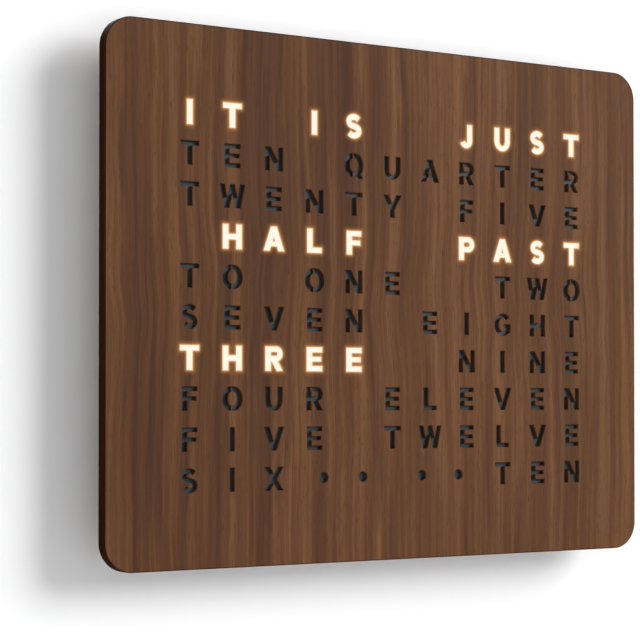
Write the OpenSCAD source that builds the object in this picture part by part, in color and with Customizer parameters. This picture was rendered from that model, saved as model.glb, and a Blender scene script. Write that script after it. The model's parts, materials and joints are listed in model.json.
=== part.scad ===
// Wall-hung word clock: a wooden slab with a field of lit openings, on a shallow housing
// that holds the light grid, the lamps, the controller, the setting buttons and the power inlet.
// +Z is up, +Y goes into the wall and the face looks along -Y.
// The origin lies on the wall, straight behind the middle of the face. Sizes are in millimetres.

/* [Slab] */
// Width of the face
slab_w = 500; // [480:5:560]
// Height of the face
slab_h = 400; // [380:5:450]
// Thickness of the slab at its edge
slab_t = 10; // [9:0.5:14]
// Radius of the slab's corners
corner_r = 22; // [12:1:40]
// Thickness of the front sheet
face_t = 3; // [2:0.5:4]
// Thickness of the veneer band round the edge
band_t = 0.6; // [0.4:0.1:1]
// Thickness of the smoked sheet behind the openings
diffuser_t = 1.5; // [1:0.5:2]

/* [Letter field] */
// Openings in a row
columns = 11; // [9:1:11]
// Rows of openings
rows = 10; // [8:1:10]
// Distance between openings, side to side
pitch_x = 36.2; // [35:0.1:37]
// Distance between rows
pitch_z = 30; // [29:0.5:31]
// Radius of a minute dot
dot_r = 4; // [3:0.5:5]
// Distance of the inner minute dots from the middle
dot_inner = 28; // [24:1:32]
// Distance between the two dots of a pair
dot_gap = 36; // [32:1:40]

/* [Light grid] */
// Depth of the slats
grid_depth = 16; // [12:1:17]
// Thickness of a slat
slat_t = 1.5; // [1:0.25:2]
// Play in the half-lap slots
lap_play = 0.2; // [0.1:0.05:0.3]
// How far the slats run past the outermost crossings
slat_overhang = 3; // [2:0.5:4]

/* [Lamps] */
// Thickness of the board that carries the lamp strips
lamp_board_t = 2; // [1.5:0.5:2]
// Width of a lamp strip
strip_w = 10; // [8:1:10]
// Thickness of a lamp strip
strip_t = 0.4; // [0.3:0.1:0.5]
// Side of a square lamp
lamp_side = 5; // [3.5:0.5:5]
// Height of a lamp
lamp_h = 1.6; // [1.2:0.1:2]

/* [Housing] */
// Depth of the housing, from the wall to the slab
housing_depth = 28; // [27:0.5:34]
// Thickness of the housing's walls
wall_t = 2.5; // [2:0.25:3]
// Thickness of the ledge that lies on the slab's back
ledge_t = 2; // [2:0.25:3]
// Width of the ledge, from the window to the outside of the wall
ledge_w = 16; // [15.5:0.5:18]
// Radius of the housing's corners
housing_r = 12; // [8:1:16]
// Thickness of the steel rear cover
cover_t = 1.5; // [1:0.25:2]
// Distance between the two hanging keyholes
keyhole_span = 300; // [260:10:340]
// Height of the keyholes' round ends above the middle
keyhole_z = 110; // [90:5:120]
// Radius of a keyhole's round end, for the screw's head
keyhole_r = 5; // [4.5:0.5:6]
// Half the width of a keyhole's slot, for the screw's shank
keyhole_slot_r = 2.4; // [2:0.1:2.6]

/* [Buttons and inlet] */
// Travel of a button
button_travel = 1.5; // [1:0.25:1.5]
// Place of the first button, to the right of the middle
button_x = 40; // [34:1:46]
// Distance between buttons
button_gap = 25; // [20:1:26]
// Place of the power inlet
inlet_x = -55; // [-70:1:-45]
// Radius of the inlet's bore
inlet_bore_r = 3.15; // [3:0.05:3.3]
// Radius of the inlet's middle pin
inlet_pin_r = 1.05; // [1:0.05:1.25]
// Free length of the inlet's middle pin
inlet_pin_l = 8.5; // [7:0.5:9]

/* [Controller] */
// Place of the controller board's middle, side to side
controller_x = -20; // [-30:1:0]
// Place of the controller board's middle, up and down
controller_z = -80; // [-85:1:-60]
// Width of the controller board
controller_w = 100; // [96:1:110]
// Height of the controller board
controller_h = 70; // [68:1:76]
// Diameter of the coin cell
cell_d = 20; // [16:4:20]

/* [Hidden] */
$fn = 64;

// Planes of the stack, from the wall (0) to the face
slab_back = -housing_depth;
face_front = slab_back - slab_t;
face_back = face_front + face_t;
diffuser_back = face_back + diffuser_t;
grid_back = diffuser_back + grid_depth;
lamp_board_back = grid_back + lamp_board_t;
cover_front = -cover_t;
ledge_back = slab_back + ledge_t;

// Light grid and the window that it stands in
grid_w = columns * pitch_x;
grid_h = rows * pitch_z;
rail_l = grid_w + slat_t + 2 * slat_overhang;
upright_l = grid_h + slat_t + 2 * slat_overhang;
lap_w = slat_t + lap_play;
half_lap = grid_depth / 2;
window_play = 2.4;
window_w = rail_l + window_play;
window_h = upright_l + window_play;
window_r = 4;
rebate_w = 8.5;

// Lamps
strip_l = grid_w + slat_t + 14.3;
strip_notch_w = strip_w + 0.6;
strip_notch_d = strip_t + 0.4;
lamp_window_r = lamp_side * 0.43;
link_r = 0.5;
link_gap = 1.4;
link_x = grid_w / 2 + slat_t / 2 + 3.75;

// Housing
housing_w = window_w + 2 * ledge_w;
housing_h = window_h + 2 * ledge_w;
floor_out = -housing_h / 2;
floor_in = floor_out + wall_t;
post_r = 4;
post_inset = wall_t + 6;
post_x = housing_w / 2 - post_inset;
post_z = housing_h / 2 - post_inset;
rib_t = 2;
pilot_r = 1.3;
lamp_board_w = window_w + 22;
lamp_board_h = window_h + 22;
works_y = (lamp_board_back + cover_front) / 2;

// Places of the screws and of the posts that take them, as [x, z]
cover_posts = [for (sx = [-1, 0, 1], sz = [-1, 1]) [sx * post_x, sz * post_z]];
board_posts = concat(
    [for (sx = [-1, 1], sz = [-1, 1]) [sx * post_x, sz * 70]],
    [for (sx = [-1, 1], sz = [-1, 1]) [sx * 110, sz * post_z]]
);
frame_screws = concat(
    [for (sx = [-1, 1], z = [-115, 0, 115]) [sx * post_x, z]],
    [for (sx = [-1, 1], sz = [-1, 1]) [sx * 55, sz * post_z]]
);
frame_screw_r = 1.5;
frame_screw_bite = 4.5;

// Buttons
button_places = [for (i = [0:2]) button_x + i * button_gap];
bush_r = 3.5;
bush_l = wall_t + 5.5;
button_body_r = 5.5;
button_body_l = 14.5;
plunger_r = 2.5;
plunger_play = 0.15;
chamber_r = 4.2;
chamber_floor = 1;
chamber_roof = 2;
flange_t = 1.4;
cap_r = 3.3;
cap_t = 2.2;
stem_r = 1.2;
spring_r = 2.6;
spring_wire_r = 0.35;
spring_turns = 6;

// Power inlet
inlet_r = 4;
inlet_l = 19;
inlet_bore_l = 10;
bezel_r = 6;
bezel_t = 2;

// Controller
pcb_t = 1.6;
standoff_h = 5;
pcb_front = lamp_board_back + standoff_h;
pcb_back = pcb_front + pcb_t;
standoff_inset = 4;
header_h = 5;

// Light sensor, in the housing's top wall
sensor_x = 60;
sensor_r = 2.5;

// Leads, each as the four control points of one curve or of two joined curves
lead_hole = [-211, -135];
plug_y = pcb_back + header_h / 2;
header_z = controller_z - controller_h / 2 + 4;
header_depth = 5.8;
plug_z = header_z - header_depth / 2;
supply_route = [
    [inlet_x - 2.2, works_y, floor_in + 21.5], [inlet_x - 2.2, works_y, -135],
    [controller_x - 31.5, plug_y, -130], [controller_x - 31.5, plug_y, plug_z]
];
ground_route = [
    [inlet_x + 2.2, works_y, floor_in + 21.5], [inlet_x + 2.2, works_y, -135],
    [controller_x - 28.5, plug_y, -128], [controller_x - 28.5, plug_y, plug_z]
];
lamp_route_a = [
    [controller_x, plug_y, plug_z], [controller_x, plug_y, -140],
    [controller_x - 30, -12, -134], [-120, -13, -135]
];
lamp_route_b = [
    [-120, -13, -135], [-175, -13.6, -135.6], [lead_hole[0], -10, lead_hole[1]],
    [lead_hole[0], lamp_board_back + 0.6, lead_hole[1]]
];
lamp_route_c = [
    [lead_hole[0], lamp_board_back + 0.6, lead_hole[1]], [lead_hole[0], grid_back - 2.8, lead_hole[1]],
    [lead_hole[0] + 1.2, grid_back - 2.6, lead_hole[1]], [-strip_l / 2 - 0.2, grid_back - 2.2, lead_hole[1]]
];
sensor_route = [
    [controller_x + 34, plug_y, controller_z + controller_h / 2 - 4 + header_depth / 2], [controller_x + 34, -9, 40],
    [sensor_x, -10, 60], [sensor_x, works_y, housing_h / 2 - wall_t - 12]
];

// ---- Outlines and small shapes ----

// Rectangle with round corners, centred
module rounded_outline(w, h, r) {
    square([w - 2 * r, h], center = true);
    square([w, h - 2 * r], center = true);
    for (sx = [-1, 1], sz = [-1, 1])
        translate([sx * (w / 2 - r), sz * (h / 2 - r)])
            circle(r);
}

// Slot with round ends, lying across
module slot_outline(length, width) {
    square([length - width, width], center = true);
    for (side = [-1, 1])
        translate([side * (length - width) / 2, 0])
            circle(width / 2);
}

// Keyhole: a round end at the origin and a slot above it
module keyhole_outline() {
    rise = keyhole_r + 5;
    circle(keyhole_r);
    translate([-keyhole_slot_r, 0])
        square([2 * keyhole_slot_r, rise]);
    translate([0, rise])
        circle(keyhole_slot_r);
}

// Raises an upright outline (x, z) into a plate that starts at y0 and is t thick
module plate(y0, t) {
    translate([0, y0 + t, 0])
        rotate([90, 0, 0])
            linear_extrude(t)
                children();
}

// Cylinder along Y that starts at y0
module rod_y(x, z, r, y0, l) {
    translate([x, y0 + l, z])
        rotate([90, 0, 0])
            cylinder(r = r, h = l);
}

// Turns a profile of [radius, height] about an upright axis at x, on the works' middle plane
module turned(x, profile) {
    translate([x, works_y, 0])
        rotate_extrude()
            polygon(profile);
}

// Screw whose head ends at y_head and whose shank points to the face
module pan_screw(x, z, y_head, head_r, head_t, shank_r, shank_l) {
    translate([x, y_head, z])
        rotate([90, 0, 0])
            rotate_extrude()
                polygon([
                    [0, -head_t], [head_r * 0.7, -head_t], [head_r * 0.94, -head_t * 0.75],
                    [head_r, -head_t * 0.35], [head_r, 0], [shank_r, 0],
                    [shank_r, shank_l - shank_r], [shank_r * 0.3, shank_l], [0, shank_l]
                ]);
}

// ---- Curves for the leads and springs ----

function unit(v) = v / norm(v);

function on_curve(p, t) =
    pow(1 - t, 3) * p[0] + 3 * t * pow(1 - t, 2) * p[1]
    + 3 * t * t * (1 - t) * p[2] + pow(t, 3) * p[3];

function curve(p, steps, first = 0) = [for (i = [first:steps]) on_curve(p, i / steps)];

// Curve with a short straight stretch at each end, so that the ends lie flat on what they meet
function lead_path(p, steps) =
    let (stub = 0.8)
    concat(
        [p[0], p[0] + stub * unit(p[1] - p[0])],
        [for (i = [1:steps - 1]) on_curve(p, i / steps)],
        [p[3] - stub * unit(p[3] - p[2]), p[3]]
    );

function direction(path, i) =
    unit(path[min(i + 1, len(path) - 1)] - path[max(i - 1, 0)]);

// Carries a sideways vector along the path without twist
function sideways(path, v, i = 0) =
    i == len(path) ? [] :
    let (d = direction(path, i), s = unit(v - (v * d) * d))
    concat([s], sideways(path, s, i + 1));

// Round tube along a path of points, closed at both ends
module tube(path, r, sides, start) {
    side = sideways(path, start);
    count = len(path);
    points = [
        for (i = [0:count - 1])
            let (d = direction(path, i), u = side[i], v = cross(d, u))
            for (k = [0:sides - 1])
                path[i] + r * (cos(360 * k / sides) * u + sin(360 * k / sides) * v)
    ];
    walls = [
        for (i = [0:count - 2], k = [0:sides - 1])
            let (a = i * sides + k, b = i * sides + (k + 1) % sides)
            each [[a, b, b + sides], [a, b + sides, a + sides]]
    ];
    first_end = [for (k = [1:sides - 2]) [0, k + 1, k]];
    last = (count - 1) * sides;
    last_end = [for (k = [1:sides - 2]) [last, last + k, last + k + 1]];
    polyhedron(points, concat([for (f = walls) [f[0], f[2], f[1]]],
        [for (f = first_end) [f[0], f[2], f[1]]], [for (f = last_end) [f[0], f[2], f[1]]]));
}

// ---- Slab ----

// Front sheet. Its openings are the four minute dots
module face_panel() {
    color("#6a4631")
        plate(face_front, face_t)
            difference() {
                rounded_outline(slab_w - 2 * band_t, slab_h - 2 * band_t, corner_r - band_t);
                for (side = [-1, 1], place = [dot_inner, dot_inner + dot_gap])
                    translate([side * place, -(rows - 1) * pitch_z / 2])
                        circle(dot_r);
            }
}

// Ring behind the front sheet: a window for the light grid, a rebate for the smoked sheet
module slab_frame() {
    color("#3c281c")
        difference() {
            plate(face_back, slab_t - face_t)
                difference() {
                    rounded_outline(slab_w - 2 * band_t, slab_h - 2 * band_t, corner_r - band_t);
                    rounded_outline(window_w, window_h, window_r);
                }
            plate(face_back - 1, diffuser_t + 1)
                rounded_outline(window_w + 2 * rebate_w, window_h + 2 * rebate_w, window_r);
            for (p = frame_screws)
                rod_y(p[0], p[1], frame_screw_r, slab_back - frame_screw_bite - 0.5, frame_screw_bite + 1);
        }
}

// Veneer round the slab's edge
module edge_band() {
    color("#2a170c")
        plate(face_front, slab_t)
            difference() {
                rounded_outline(slab_w, slab_h, corner_r);
                rounded_outline(slab_w - 2 * band_t, slab_h - 2 * band_t, corner_r - band_t);
            }
}

// Smoked sheet that hides the cells while their lamps are off
module diffuser_sheet() {
    play = 1;
    color("#37444c")
        plate(face_back, diffuser_t)
            rounded_outline(
                window_w + 2 * rebate_w - play, window_h + 2 * rebate_w - play, window_r - play / 2
            );
}

// ---- Light grid: slats crossed at half laps, one cell to each opening ----

// Profile of an upright slat, as (y, z): laps open to the back, with clearance for the strips
module upright_profile() {
    difference() {
        translate([diffuser_back, -upright_l / 2])
            square([grid_depth, upright_l]);
        for (j = [0:rows])
            translate([diffuser_back + half_lap, -grid_h / 2 + j * pitch_z - lap_w / 2])
                square([half_lap + 1, lap_w]);
        for (j = [0:rows - 1])
            translate([grid_back - strip_notch_d, -grid_h / 2 + (j + 0.5) * pitch_z - strip_notch_w / 2])
                square([strip_notch_d + 1, strip_notch_w]);
    }
}

module grid_uprights() {
    color("#e9e7e0")
        for (i = [0:columns])
            translate([-grid_w / 2 + i * pitch_x - slat_t / 2, 0, 0])
                rotate([90, 0, 90])
                    linear_extrude(slat_t)
                        upright_profile();
}

// Profile of a level slat, as (x, y): laps open to the front
module rail_profile() {
    difference() {
        translate([-rail_l / 2, diffuser_back])
            square([rail_l, grid_depth]);
        for (i = [0:columns])
            translate([-grid_w / 2 + i * pitch_x - lap_w / 2, diffuser_back - 1])
                square([lap_w, half_lap + 1]);
    }
}

module grid_rails() {
    color("#e9e7e0")
        for (j = [0:rows])
            translate([0, 0, -grid_h / 2 + j * pitch_z - slat_t / 2])
                linear_extrude(slat_t)
                    rail_profile();
}

// ---- Lamps ----

// Board behind the grid: notches let the cover's posts pass
module lamp_board() {
    color("#dcdcd8")
        plate(grid_back, lamp_board_t)
            difference() {
                rounded_outline(lamp_board_w, lamp_board_h, window_r);
                for (p = cover_posts)
                    translate(p)
                        circle(post_r + 1.2);
                for (p = board_posts)
                    translate(p)
                        circle(1.7);
                translate(lead_hole)
                    circle(2.2);
            }
}

module lamp_strips() {
    color("#f2f2ee")
        for (j = [0:rows - 1])
            translate([-strip_l / 2, grid_back - strip_t, -grid_h / 2 + (j + 0.5) * pitch_z - strip_w / 2])
                cube([strip_l, strip_t, strip_w]);
}

// One lamp: a square body with a round window sunk in its front
module lamp() {
    difference() {
        translate([-lamp_side / 2, -lamp_h, -lamp_side / 2])
            cube([lamp_side, lamp_h, lamp_side]);
        rotate([90, 0, 0])
            translate([0, 0, lamp_h - 0.5])
                cylinder(r1 = lamp_window_r * 0.8, r2 = lamp_window_r * 1.04, h = 0.6);
    }
}

module lamps() {
    color("#f4e9b8")
        for (i = [0:columns - 1], j = [0:rows - 1])
            translate([
                -grid_w / 2 + (i + 0.5) * pitch_x,
                grid_back - strip_t,
                -grid_h / 2 + (j + 0.5) * pitch_z
            ])
                lamp();
}

// Three short wires from each strip to the next, at alternate ends
module strip_links() {
    color("#a8422f")
        for (j = [0:rows - 2], k = [0:2])
            translate([
                (j % 2 == 0 ? 1 : -1) * (link_x + k * link_gap),
                grid_back - strip_t - link_r,
                -grid_h / 2 + (j + 0.5) * pitch_z - 2
            ])
                cylinder(r = link_r, h = pitch_z + 4, $fn = 24);
}

// ---- Housing ----

// Post on the ledge with a rib to the nearest wall and a pilot hole from the back
module post(p, top, across) {
    reach = post_inset - wall_t + 0.5;
    rod_y(p[0], p[1], post_r, slab_back, top - slab_back);
    sx = across ? sign(p[0]) : 0;
    sz = across ? 0 : sign(p[1]);
    translate([p[0] + sx * reach / 2, (slab_back + top) / 2, p[1] + sz * reach / 2])
        cube([across ? reach : rib_t, top - slab_back, across ? rib_t : reach], center = true);
}

module housing_shell() {
    plate(slab_back, cover_front - slab_back)
        difference() {
            rounded_outline(housing_w, housing_h, housing_r);
            rounded_outline(housing_w - 2 * wall_t, housing_h - 2 * wall_t, housing_r - wall_t);
        }
    plate(slab_back, ledge_t)
        difference() {
            rounded_outline(housing_w - wall_t, housing_h - wall_t, housing_r - wall_t / 2);
            rounded_outline(window_w, window_h, window_r);
        }
}

module rear_housing() {
    color("#26272a")
        difference() {
            union() {
                housing_shell();
                for (p = cover_posts)
                    post(p, cover_front, abs(p[0]) > 1);
                for (p = board_posts)
                    post(p, grid_back, abs(p[0]) > 150);
            }
            for (p = cover_posts)
                rod_y(p[0], p[1], pilot_r, cover_front - 10, 11);
            for (p = board_posts)
                rod_y(p[0], p[1], pilot_r, grid_back - 7.5, 8.5);
            for (p = frame_screws)
                rod_y(p[0], p[1], frame_screw_r + 0.2, slab_back - 1, ledge_t + 2);
            for (x = button_places)
                translate([x, works_y, floor_out - 1])
                    cylinder(r = bush_r + 0.1, h = wall_t + 2);
            translate([inlet_x, works_y, floor_out - 1])
                cylinder(r = inlet_r + 0.1, h = wall_t + 2);
            translate([sensor_x, works_y, -floor_in - 1])
                cylinder(r = sensor_r + 0.1, h = wall_t + 2);
        }
}

// Steel cover with two hanging keyholes, countersunk screw holes and two groups of vents
module rear_cover() {
    vent_w = 3;
    vent_l = 36;
    vent_gap = 8;
    vents = 8;
    color("#2b2c2f")
        difference() {
            plate(cover_front, cover_t)
                difference() {
                    rounded_outline(housing_w, housing_h, housing_r);
                    for (side = [-1, 1])
                        translate([side * keyhole_span / 2, keyhole_z])
                            keyhole_outline();
                    for (side = [-1, 1], i = [0:vents - 1])
                        translate([side * 26, controller_z - (i - (vents - 1) / 2) * vent_gap])
                            slot_outline(vent_l, vent_w);
                }
            for (p = cover_posts)
                translate([p[0], 0.01, p[1]])
                    rotate([90, 0, 0])
                        cylinder(r1 = 3.2, r2 = 1.7, h = cover_t + 0.02);
        }
}

// ---- Controller ----

module controller_board() {
    color("#1f5b3c")
        translate([controller_x, 0, controller_z])
            plate(pcb_front, pcb_t)
                difference() {
                    rounded_outline(controller_w, controller_h, 3);
                    for (sx = [-1, 1], sz = [-1, 1])
                        translate([
                            sx * (controller_w / 2 - standoff_inset),
                            sz * (controller_h / 2 - standoff_inset)
                        ])
                            circle(1.7);
                }
}

// Stuck-on nylon supports: a broad foot, a post and a peg that snaps through the board
module board_standoffs() {
    color("#d9d6cc")
        for (sx = [-1, 1], sz = [-1, 1])
            translate([
                controller_x + sx * (controller_w / 2 - standoff_inset),
                lamp_board_back,
                controller_z + sz * (controller_h / 2 - standoff_inset)
            ])
                rotate([-90, 0, 0])
                    rotate_extrude()
                        polygon([
                            [0, 0], [3.9, 0], [3.9, 1], [2.6, 1.6], [2.6, standoff_h],
                            [1.55, standoff_h], [1.55, standoff_h + pcb_t], [2, standoff_h + pcb_t + 0.3],
                            [0.9, standoff_h + pcb_t + 1.8], [0, standoff_h + pcb_t + 1.8]
                        ]);
}

processor_x = controller_x - 20;
processor_z = controller_z + 12;
processor_w = 50;
processor_h = 26;
riser = 1.8;

// Plug-on processor board, carried on two rows of pins
module processor_board() {
    pins = 15;
    color("#1b1d22")
        translate([processor_x, 0, processor_z]) {
            plate(pcb_back + riser, 1)
                rounded_outline(processor_w, processor_h, 1.5);
            for (side = [-1, 1])
                translate([0, pcb_back + riser / 2, side * (processor_h / 2 - 2)])
                    cube([pins * 2.54 + 1, riser, 2.4], center = true);
        }
}

// Shielded radio can, supply plug socket and two small keys on the processor board
module processor_chips() {
    top = pcb_back + riser + 1;
    color("#b9bcc0")
        translate([processor_x, top, processor_z]) {
            translate([4, 0, -8])
                cube([17, 2.6, 16]);
            translate([-processor_w / 2 - 0.8, 0, -4])
                cube([7.2, 2.4, 8]);
            for (side = [-1, 1])
                translate([-13, 0, side * 8.5 - 1.5])
                    cube([4, 1.4, 3]);
        }
}

// Flat chip with a row of bent legs along each long side
module flat_chip(x, z, w, h, t, legs) {
    pitch = w / legs;
    translate([x, pcb_back, z]) {
        translate([-w / 2, 0.2, -h / 2])
            cube([w, t - 0.2, h]);
        for (side = [-1, 1], i = [0:legs - 1])
            translate([-w / 2 + (i + 0.5) * pitch, 0, side * (h / 2 + 0.7)])
                translate([-pitch / 6, 0, -0.8])
                    cube([pitch / 3, t / 2, 1.6]);
    }
}

module clock_chip() {
    color("#17181b")
        flat_chip(controller_x + 26, controller_z + 22, 10.3, 7.5, 2.5, 8);
}

module driver_chip() {
    color("#17181b")
        flat_chip(controller_x + 2, controller_z - 14, 8.7, 4, 1.6, 7);
}

cell_x = controller_x + 30;
cell_z = controller_z - 4;
cell_seat = 1.2;
cell_t = 3.2;

// Holder with a round pocket and two lips that keep the cell down
module cell_holder() {
    wall = 1.4;
    pocket_r = cell_d / 2 + 0.4;
    color("#141518")
        translate([cell_x, pcb_back, cell_z])
            rotate([-90, 0, 0]) {
                difference() {
                    cylinder(r = pocket_r + wall, h = cell_seat + cell_t);
                    translate([0, 0, cell_seat])
                        cylinder(r = pocket_r, h = cell_t + 1);
                    translate([-5, -pocket_r - wall - 1, cell_seat])
                        cube([10, wall + 3, cell_t + 1]);
                }
                for (side = [-1, 1])
                    translate([side * pocket_r - 1.5, -4, cell_seat + cell_t + 0.1])
                        cube([3, 8, 0.6]);
                for (side = [-1, 1])
                    translate([side * (pocket_r + wall / 2) - wall / 2, -4, cell_seat])
                        cube([wall, 8, cell_t + 0.4]);
            }
}

module coin_cell() {
    rim = 0.5;
    color("#c9ccd0")
        translate([cell_x, pcb_back + cell_seat + 0.02, cell_z])
            rotate([-90, 0, 0])
                rotate_extrude()
                    polygon([
                        [0, 0], [cell_d / 2 - 1.6, 0], [cell_d / 2 - 1.6, rim], [cell_d / 2, rim + 0.2],
                        [cell_d / 2, cell_t - 0.3], [cell_d / 2 - 0.3, cell_t], [0, cell_t]
                    ]);
}

module smoothing_capacitor() {
    can_r = 3.15;
    can_h = 5.8;
    x = controller_x - 42;
    z = controller_z - 20;
    color("#b7bbc2") {
        translate([x, pcb_back, z])
            translate([-3.3, 0, -3.3])
                cube([6.6, 0.9, 6.6]);
        translate([x, pcb_back, z])
            rotate([-90, 0, 0])
                rotate_extrude()
                    polygon([
                        [0, 0], [can_r, 0], [can_r, 1.3], [can_r - 0.3, 1.6], [can_r - 0.3, 1.9],
                        [can_r, 2.2], [can_r, can_h - 0.4], [can_r - 0.4, can_h], [0, can_h]
                    ]);
    }
}

// Plug-in wire header, with its mouth looking down
module header(x, ways, up) {
    w = ways * 2.5 + 2.4;
    z = up ? controller_z + controller_h / 2 - 4 : header_z;
    translate([x, pcb_back, z])
        translate([-w / 2, 0, -header_depth / 2]) {
            cube([w, header_h, header_depth]);
            for (i = [0:ways - 1])
                translate([1.2 + i * 2.5 + 0.75, header_h, 1])
                    cube([1, 0.4, 3.4]);
        }
}

module wire_headers() {
    color("#efece2") {
        header(controller_x - 30, 2, false);
        header(controller_x, 3, false);
        header(controller_x + 22, 4, false);
        header(controller_x + 34, 2, true);
    }
}

// ---- Power inlet ----

module power_inlet() {
    bore_top = floor_out - bezel_t + inlet_bore_l;
    color("#1a1b1d")
        turned(inlet_x, [
            [inlet_bore_r, floor_out - bezel_t], [bezel_r - 0.4, floor_out - bezel_t],
            [bezel_r, floor_out - bezel_t + 0.4], [bezel_r, floor_out], [inlet_r, floor_out],
            [inlet_r, floor_out + inlet_l], [0.85, floor_out + inlet_l], [0.85, bore_top],
            [inlet_bore_r, bore_top]
        ]);
}

// Middle pin of the inlet, with a round tip and a thinner tail through the body
module inlet_pin() {
    root = floor_out - bezel_t + inlet_bore_l;
    tip = root - inlet_pin_l;
    color("#c8ccd0") {
        translate([inlet_x, works_y, tip + inlet_pin_r])
            cylinder(r = inlet_pin_r, h = inlet_pin_l - inlet_pin_r);
        translate([inlet_x, works_y, tip + inlet_pin_r])
            sphere(inlet_pin_r);
        translate([inlet_x, works_y, root])
            cylinder(r = 0.8, h = inlet_l - inlet_bore_l);
    }
}

module inlet_terminals() {
    color("#c8ccd0")
        for (side = [-1, 1])
            translate([inlet_x + side * 2.2 - 1.2, works_y - 0.25, floor_out + inlet_l])
                cube([2.4, 0.5, floor_in + 21.5 - floor_out - inlet_l]);
}

module inlet_nut() {
    nut_t = 2.5;
    across = 11;
    color("#c8ccd0")
        translate([inlet_x, works_y, floor_in])
            difference() {
                cylinder(r = across / 2 / cos(30), h = nut_t, $fn = 6);
                translate([0, 0, -1])
                    cylinder(r = inlet_r + 0.05, h = nut_t + 2);
            }
}

// Light sensor: a clear dome in the top wall, its flange and two legs inside
module light_sensor() {
    top = housing_h / 2;
    inside = top - wall_t;
    color("#c98f3a") {
        turned(sensor_x, [
            [0, inside - 4], [sensor_r + 0.6, inside - 4], [sensor_r + 0.6, inside],
            [sensor_r, inside], [sensor_r, top + 0.4], [sensor_r * 0.8, top + 1.4], [0, top + 1.9]
        ]);
        for (side = [-1, 1])
            translate([sensor_x + side * 1.27, works_y, inside - 12])
                cylinder(r = 0.3, h = 8.5, $fn = 16);
    }
}

// ---- Buttons ----

// Body of a button: a bush through the floor and a chamber for flange, stem and spring
module button_bodies() {
    bush_end = floor_in - bush_l;
    top = floor_in + button_body_l;
    bore_r = plunger_r + plunger_play;
    color("#1a1b1d")
        for (x = button_places)
            turned(x, [
                [bore_r, bush_end], [bush_r, bush_end], [bush_r, floor_in],
                [button_body_r, floor_in], [button_body_r, top - 0.6], [button_body_r - 0.6, top],
                [0, top], [0, top - chamber_roof], [chamber_r, top - chamber_roof],
                [chamber_r, floor_in + chamber_floor], [bore_r, floor_in + chamber_floor]
            ]);
}

module button_nuts() {
    nut_t = 2;
    across = 9;
    color("#c8ccd0")
        for (x = button_places)
            translate([x, works_y, floor_out - nut_t])
                difference() {
                    cylinder(r = across / 2 / cos(30), h = nut_t, $fn = 6);
                    translate([0, 0, -1])
                        cylinder(r = bush_r + 0.05, h = nut_t + 2);
                }
}

module button_terminals() {
    color("#c8ccd0")
        for (x = button_places, side = [-1, 1])
            translate([x + side * 2.5 - 0.9, works_y - 0.25, floor_in + button_body_l])
                cube([1.8, 0.5, 4]);
}

// Moving piece of a button: cap, plunger, flange and stem
module button(x) {
    flange_z = floor_in + chamber_floor + 0.1;
    cap_z = floor_in - bush_l - button_travel - 0.3;
    turned(x, [
        [0, cap_z - cap_t], [cap_r - 0.9, cap_z - cap_t], [cap_r - 0.25, cap_z - cap_t + 0.25],
        [cap_r, cap_z - cap_t + 0.9], [cap_r, cap_z], [plunger_r, cap_z], [plunger_r, flange_z],
        [chamber_r - 0.2, flange_z], [chamber_r - 0.2, flange_z + flange_t],
        [stem_r, flange_z + flange_t], [stem_r, flange_z + flange_t + 6.5], [0, flange_z + flange_t + 6.5]
    ]);
}

module hours_button() {
    color("#8e2f2a")
        button(button_places[0]);
}

module minutes_button() {
    color("#e4e2dc")
        button(button_places[1]);
}

module light_button() {
    color("#2f5d8a")
        button(button_places[2]);
}

// Return spring between the flange and the chamber's roof
module return_spring(x) {
    low = floor_in + chamber_floor + 0.1 + flange_t + spring_wire_r + 0.1;
    high = floor_in + button_body_l - chamber_roof - spring_wire_r - 0.1;
    steps = 8 * spring_turns;
    path = [
        for (i = [0:steps])
            [
                x + spring_r * cos(360 * i / 8),
                works_y + spring_r * sin(360 * i / 8),
                low + (high - low) * i / steps
            ]
    ];
    color("#c8ccd0")
        tube(path, spring_wire_r, 6, [0, 0, 1]);
}

module hours_spring() { return_spring(button_places[0]); }

module minutes_spring() { return_spring(button_places[1]); }

module light_spring() { return_spring(button_places[2]); }

// ---- Leads ----

module supply_lead() {
    color("#a8281f")
        tube(lead_path(supply_route, 12), 0.8, 8, [0, 1, 0]);
}

module ground_lead() {
    color("#17181b")
        tube(lead_path(ground_route, 12), 0.8, 8, [0, 1, 0]);
}

// From the controller along the lamp board, through its hole and round to the lowest strip
module lamp_lead() {
    start = lamp_route_a[0] + 0.8 * unit(lamp_route_a[1] - lamp_route_a[0]);
    path = concat(
        [lamp_route_a[0], start], curve(lamp_route_a, 10, 1), curve(lamp_route_b, 12, 1),
        curve(lamp_route_c, 6, 1)
    );
    color("#d8d4c8")
        tube(path, 1, 8, [0, 1, 0]);
}

module button_leads() {
    color("#d8d4c8")
        for (i = [0:2])
            let (x = button_places[i] - 2.5, from = controller_x + 18.5 + 3 * i)
            tube(lead_path([
                [from, plug_y, plug_z], [from, plug_y, plug_z - 24 + 7 * i],
                [x, works_y, plug_z - 16 + 8 * i], [x, works_y, floor_in + button_body_l + 4]
            ], 14), 0.8, 8, [0, 1, 0]);
}

module sensor_lead() {
    color("#d8d4c8")
        tube(lead_path(sensor_route, 16), 0.9, 8, [0, 1, 0]);
}

// ---- Screws ----

// Hold the housing's ledge to the slab
module frame_screws() {
    color("#9a9da2")
        for (p = frame_screws)
            pan_screw(p[0], p[1], ledge_back, 3.2, 2, frame_screw_r - 0.05, ledge_t + frame_screw_bite);
}

// Hold the lamp board to its posts
module lamp_board_screws() {
    color("#9a9da2")
        for (p = board_posts)
            pan_screw(p[0], p[1], lamp_board_back, 2.8, 1.8, pilot_r - 0.05, lamp_board_t + 7);
}

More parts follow.
